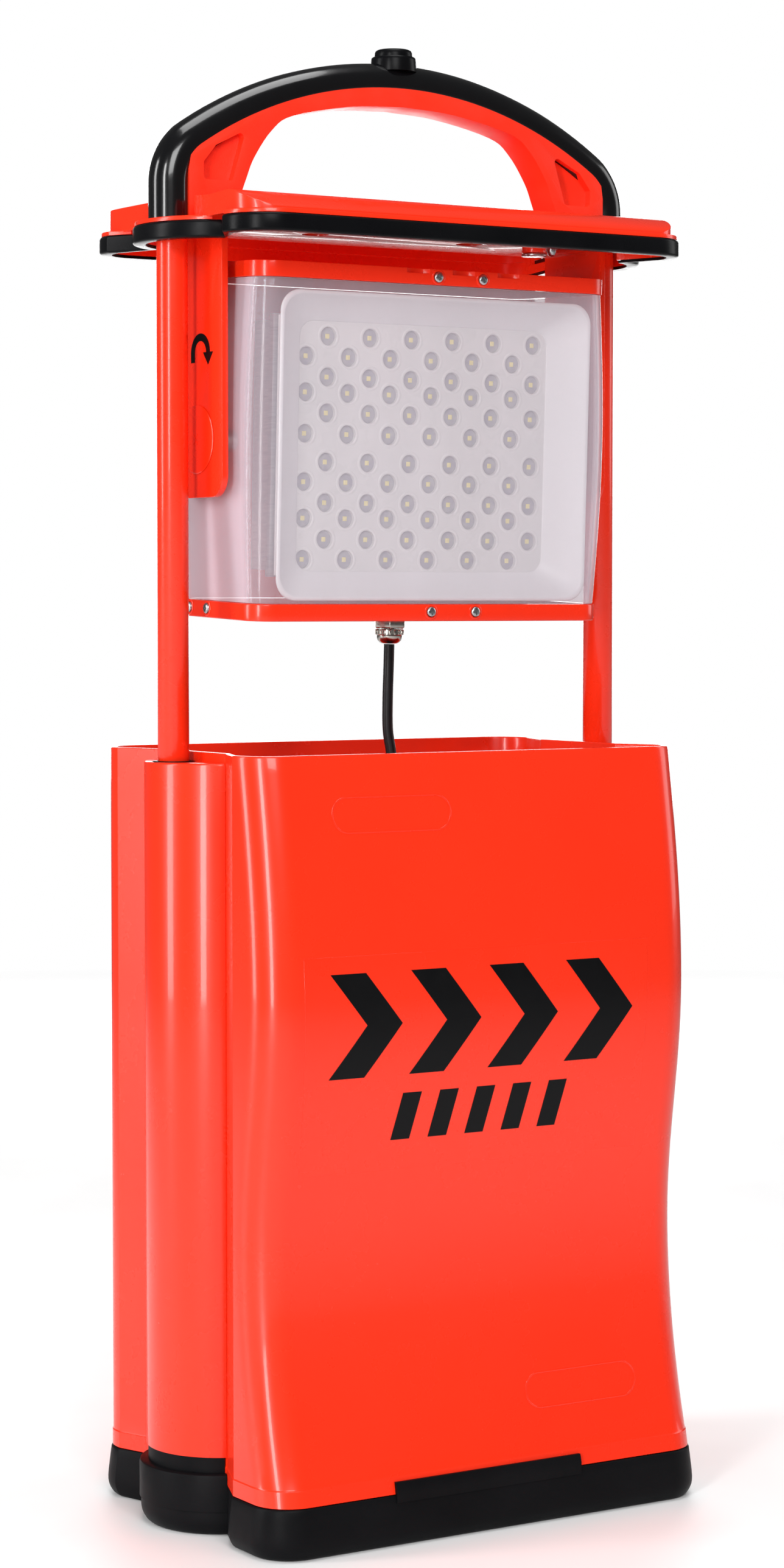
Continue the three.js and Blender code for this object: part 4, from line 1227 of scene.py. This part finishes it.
class FLOODLIGHT_OT_cable(bpy.types.Operator):
    """Build the nickel gland under the head and the cable that runs down into the case"""

    bl_idname = "floodlight.cable"
    bl_label = "Build gland and cable"

    def execute(self, context):
        hexagon = [(11.2 * math.cos(math.radians(60 * k)), 11.2 * math.sin(math.radians(60 * k)), 0.7, 3)
                   for k in range(6)]
        body = skin("gland", [at_height(filleted([(x * s, y * s, r, n) for x, y, r, n in hexagon]), z)
                              for z, s in ((577, 0.9), (577.7, 0.98), (578.3, 1), (582.6, 1), (583.2, 0.98),
                                           (583.7, 0.9))])
        hole = bore(CABLE_RADIUS + 0.2, 560, 600, 24)
        carve(body, hole)
        soften(body, 0, angle=30)
        place(body, "gland_hexagon", "head", "nickel plate", ["gland_body"], True)
        nut = turned("nut", [(3.8, 567.2), (5.2, 567.0), (6.4, 567.6), (7.8, 569), (8.5, 571), (8.6, 572.4),
                             (9.2, 573), (9.3, 576.2), (8.9, 576.7), (3.8, 576.7)], 48)
        ribs = []
        for k in range(18):
            a = 2 * math.pi * k / 18
            out = Vector((math.cos(a), math.sin(a), 0))
            ribs.append((out * 8.9 + Vector((0, 0, 574.6)), out))
        rib = block("rib", -1.7, 1.7, -0.6, 0.6, -0.3, 0.75)
        soften(rib, 0.25, 2)
        knurl = scatter("knurl", rib, ribs, "nickel plate")
        nut = joined("nut", [nut, knurl])
        soften(nut, 0, angle=32)
        place(nut, "gland_cap_nut", "head", "nickel plate", ["gland_nut"], True)
        upper = smooth_path(HEAD_CABLE, 5)
        lead = pipe("lead", upper, CABLE_RADIUS, 0, 24)
        soften(lead, 0, angle=50)
        lead.name = "lamp_lead"
        lead.data.materials.append(FINISHES["cable sheath"])
        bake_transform(lead)
        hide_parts("head_cable")
        lower = smooth_path(SLACK_CABLE, 8)
        slack = pipe("slack", lower, CABLE_RADIUS, 0, 24)
        soften(slack, 0, angle=50)
        place(slack, "lamp_lead_slack", "root", "cable sheath", ["slack_cable"])
        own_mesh(slack)
        return {"FINISHED"}


class FLOODLIGHT_OT_stage(bpy.types.Operator):
    """Lay the pale floor and set the lights and the camera"""

    bl_idname = "floodlight.stage"
    bl_label = "Build stage"

    def execute(self, context):
        settings = context.scene.floodlight.stage
        scene = context.scene
        rings = [at_height(arc(0, 0, r, 0, 356.25, 95), z)
                 for r, z in ((FLOOR_RADIUS, -1), (FLOOR_RADIUS, 0), (3, 0))]
        floor = skin("floor", rings)
        floor.data.materials.append(floor_finish())

        world = bpy.data.worlds.new("Surround")
        scene.world = world
        world.use_nodes = True
        tree = world.node_tree
        surround = tree.nodes["Background"]
        surround.inputs["Color"].default_value = (1, 0.99, 0.98, 1)
        surround.inputs["Strength"].default_value = settings.world_light
        backdrop = add(tree, "ShaderNodeBackground", Color=(1, 1, 1, 1), Strength=settings.backdrop)
        rays = add(tree, "ShaderNodeLightPath")
        choose = tree.nodes.new("ShaderNodeMixShader")
        tree.links.new(rays.outputs["Is Camera Ray"], choose.inputs[0])
        tree.links.new(surround.outputs[0], choose.inputs[1])
        tree.links.new(backdrop.outputs[0], choose.inputs[2])
        tree.links.new(choose.outputs[0], tree.nodes["World Output"].inputs["Surface"])

        for name, spot, aim, share, width, height in (
                ("Key", (-1.2, -3.1, 2.3), 0.55, 0.62, 1.5, 1.5),
                ("Soft box", (-2.5, -1.7, 1.1), 0.6, 0.5, 0.45, 2.2),
                ("Side", (-2.8, 1.0, 1.2), 0.6, 0.42, 0.6, 2.4),
                ("Fill", (2.9, -0.5, 1.3), 0.5, 0.16, 1.2, 2.0),
                ("Top", (0, -0.3, 3.2), 0.5, 0.42, 1.6, 1.6),
                ("Back", (1.7, 2.8, 1.0), 0.6, 0.5, 2.4, 1.4)):
            lamp = bpy.data.lights.new(name, "AREA")
            lamp.shape = "RECTANGLE"
            lamp.size = width
            lamp.size_y = height
            lamp.energy = settings.key_power * share
            obj = bpy.data.objects.new(name, lamp)
            scene.collection.objects.link(obj)
            obj.location = spot
            direction = Vector((0, 0, aim)) - Vector(spot)
            obj.rotation_euler = direction.to_track_quat("-Z", "Y").to_euler()
            obj.visible_camera = False

        camera = bpy.data.objects.new("Camera", bpy.data.cameras.new("Camera"))
        scene.collection.objects.link(camera)
        camera.location = (-1.261, -1.993, 0.594)
        camera.rotation_euler = (math.radians(90 - 2.92), 0, math.radians(-32.3))
        camera.data.sensor_width = 36
        camera.data.lens = settings.lens
        camera.data.clip_end = 60
        scene.camera = camera
        scene.view_settings.view_transform = "Standard"
        return {"FINISHED"}


class FLOODLIGHT_PT_panel(bpy.types.Panel):
    """Lists the steps that build the floodlight"""

    bl_label = "Floodlight"
    bl_idname = "FLOODLIGHT_PT_panel"
    bl_space_type = "VIEW_3D"
    bl_region_type = "UI"
    bl_category = "Floodlight"

    def draw(self, context):
        settings = context.scene.floodlight
        for group in (settings.case, settings.head, settings.stage):
            box = self.layout.box()
            for prop in group.bl_rna.properties:
                if prop.identifier not in {"rna_type", "name"}:
                    box.prop(group, prop.identifier)
        for operator in BUILD_STEPS:
            self.layout.operator(operator.bl_idname)


BUILD_STEPS = (
    FLOODLIGHT_OT_finishes, FLOODLIGHT_OT_stage, FLOODLIGHT_OT_cable, FLOODLIGHT_OT_case, FLOODLIGHT_OT_boot,
    FLOODLIGHT_OT_marks, FLOODLIGHT_OT_inside, FLOODLIGHT_OT_inlet, FLOODLIGHT_OT_mast, FLOODLIGHT_OT_handle,
    FLOODLIGHT_OT_switch, FLOODLIGHT_OT_lid, FLOODLIGHT_OT_arms, FLOODLIGHT_OT_head, FLOODLIGHT_OT_lamp,
    FLOODLIGHT_OT_screws,
)
CLASSES = (CaseSettings, HeadSettings, StageSettings, FloodlightSettings, *BUILD_STEPS, FLOODLIGHT_PT_panel)


def register():
    for cls in CLASSES:
        bpy.utils.register_class(cls)
    bpy.types.Scene.floodlight = PointerProperty(type=FloodlightSettings)


def unregister():
    del bpy.types.Scene.floodlight
    for cls in reversed(CLASSES):
        bpy.utils.unregister_class(cls)


def main():
    """Builds every piece in order."""
    register()
    for operator in BUILD_STEPS:
        group, step = operator.bl_idname.split(".")
        getattr(getattr(bpy.ops, group), step)()


if __name__ == "__main__":
    main()
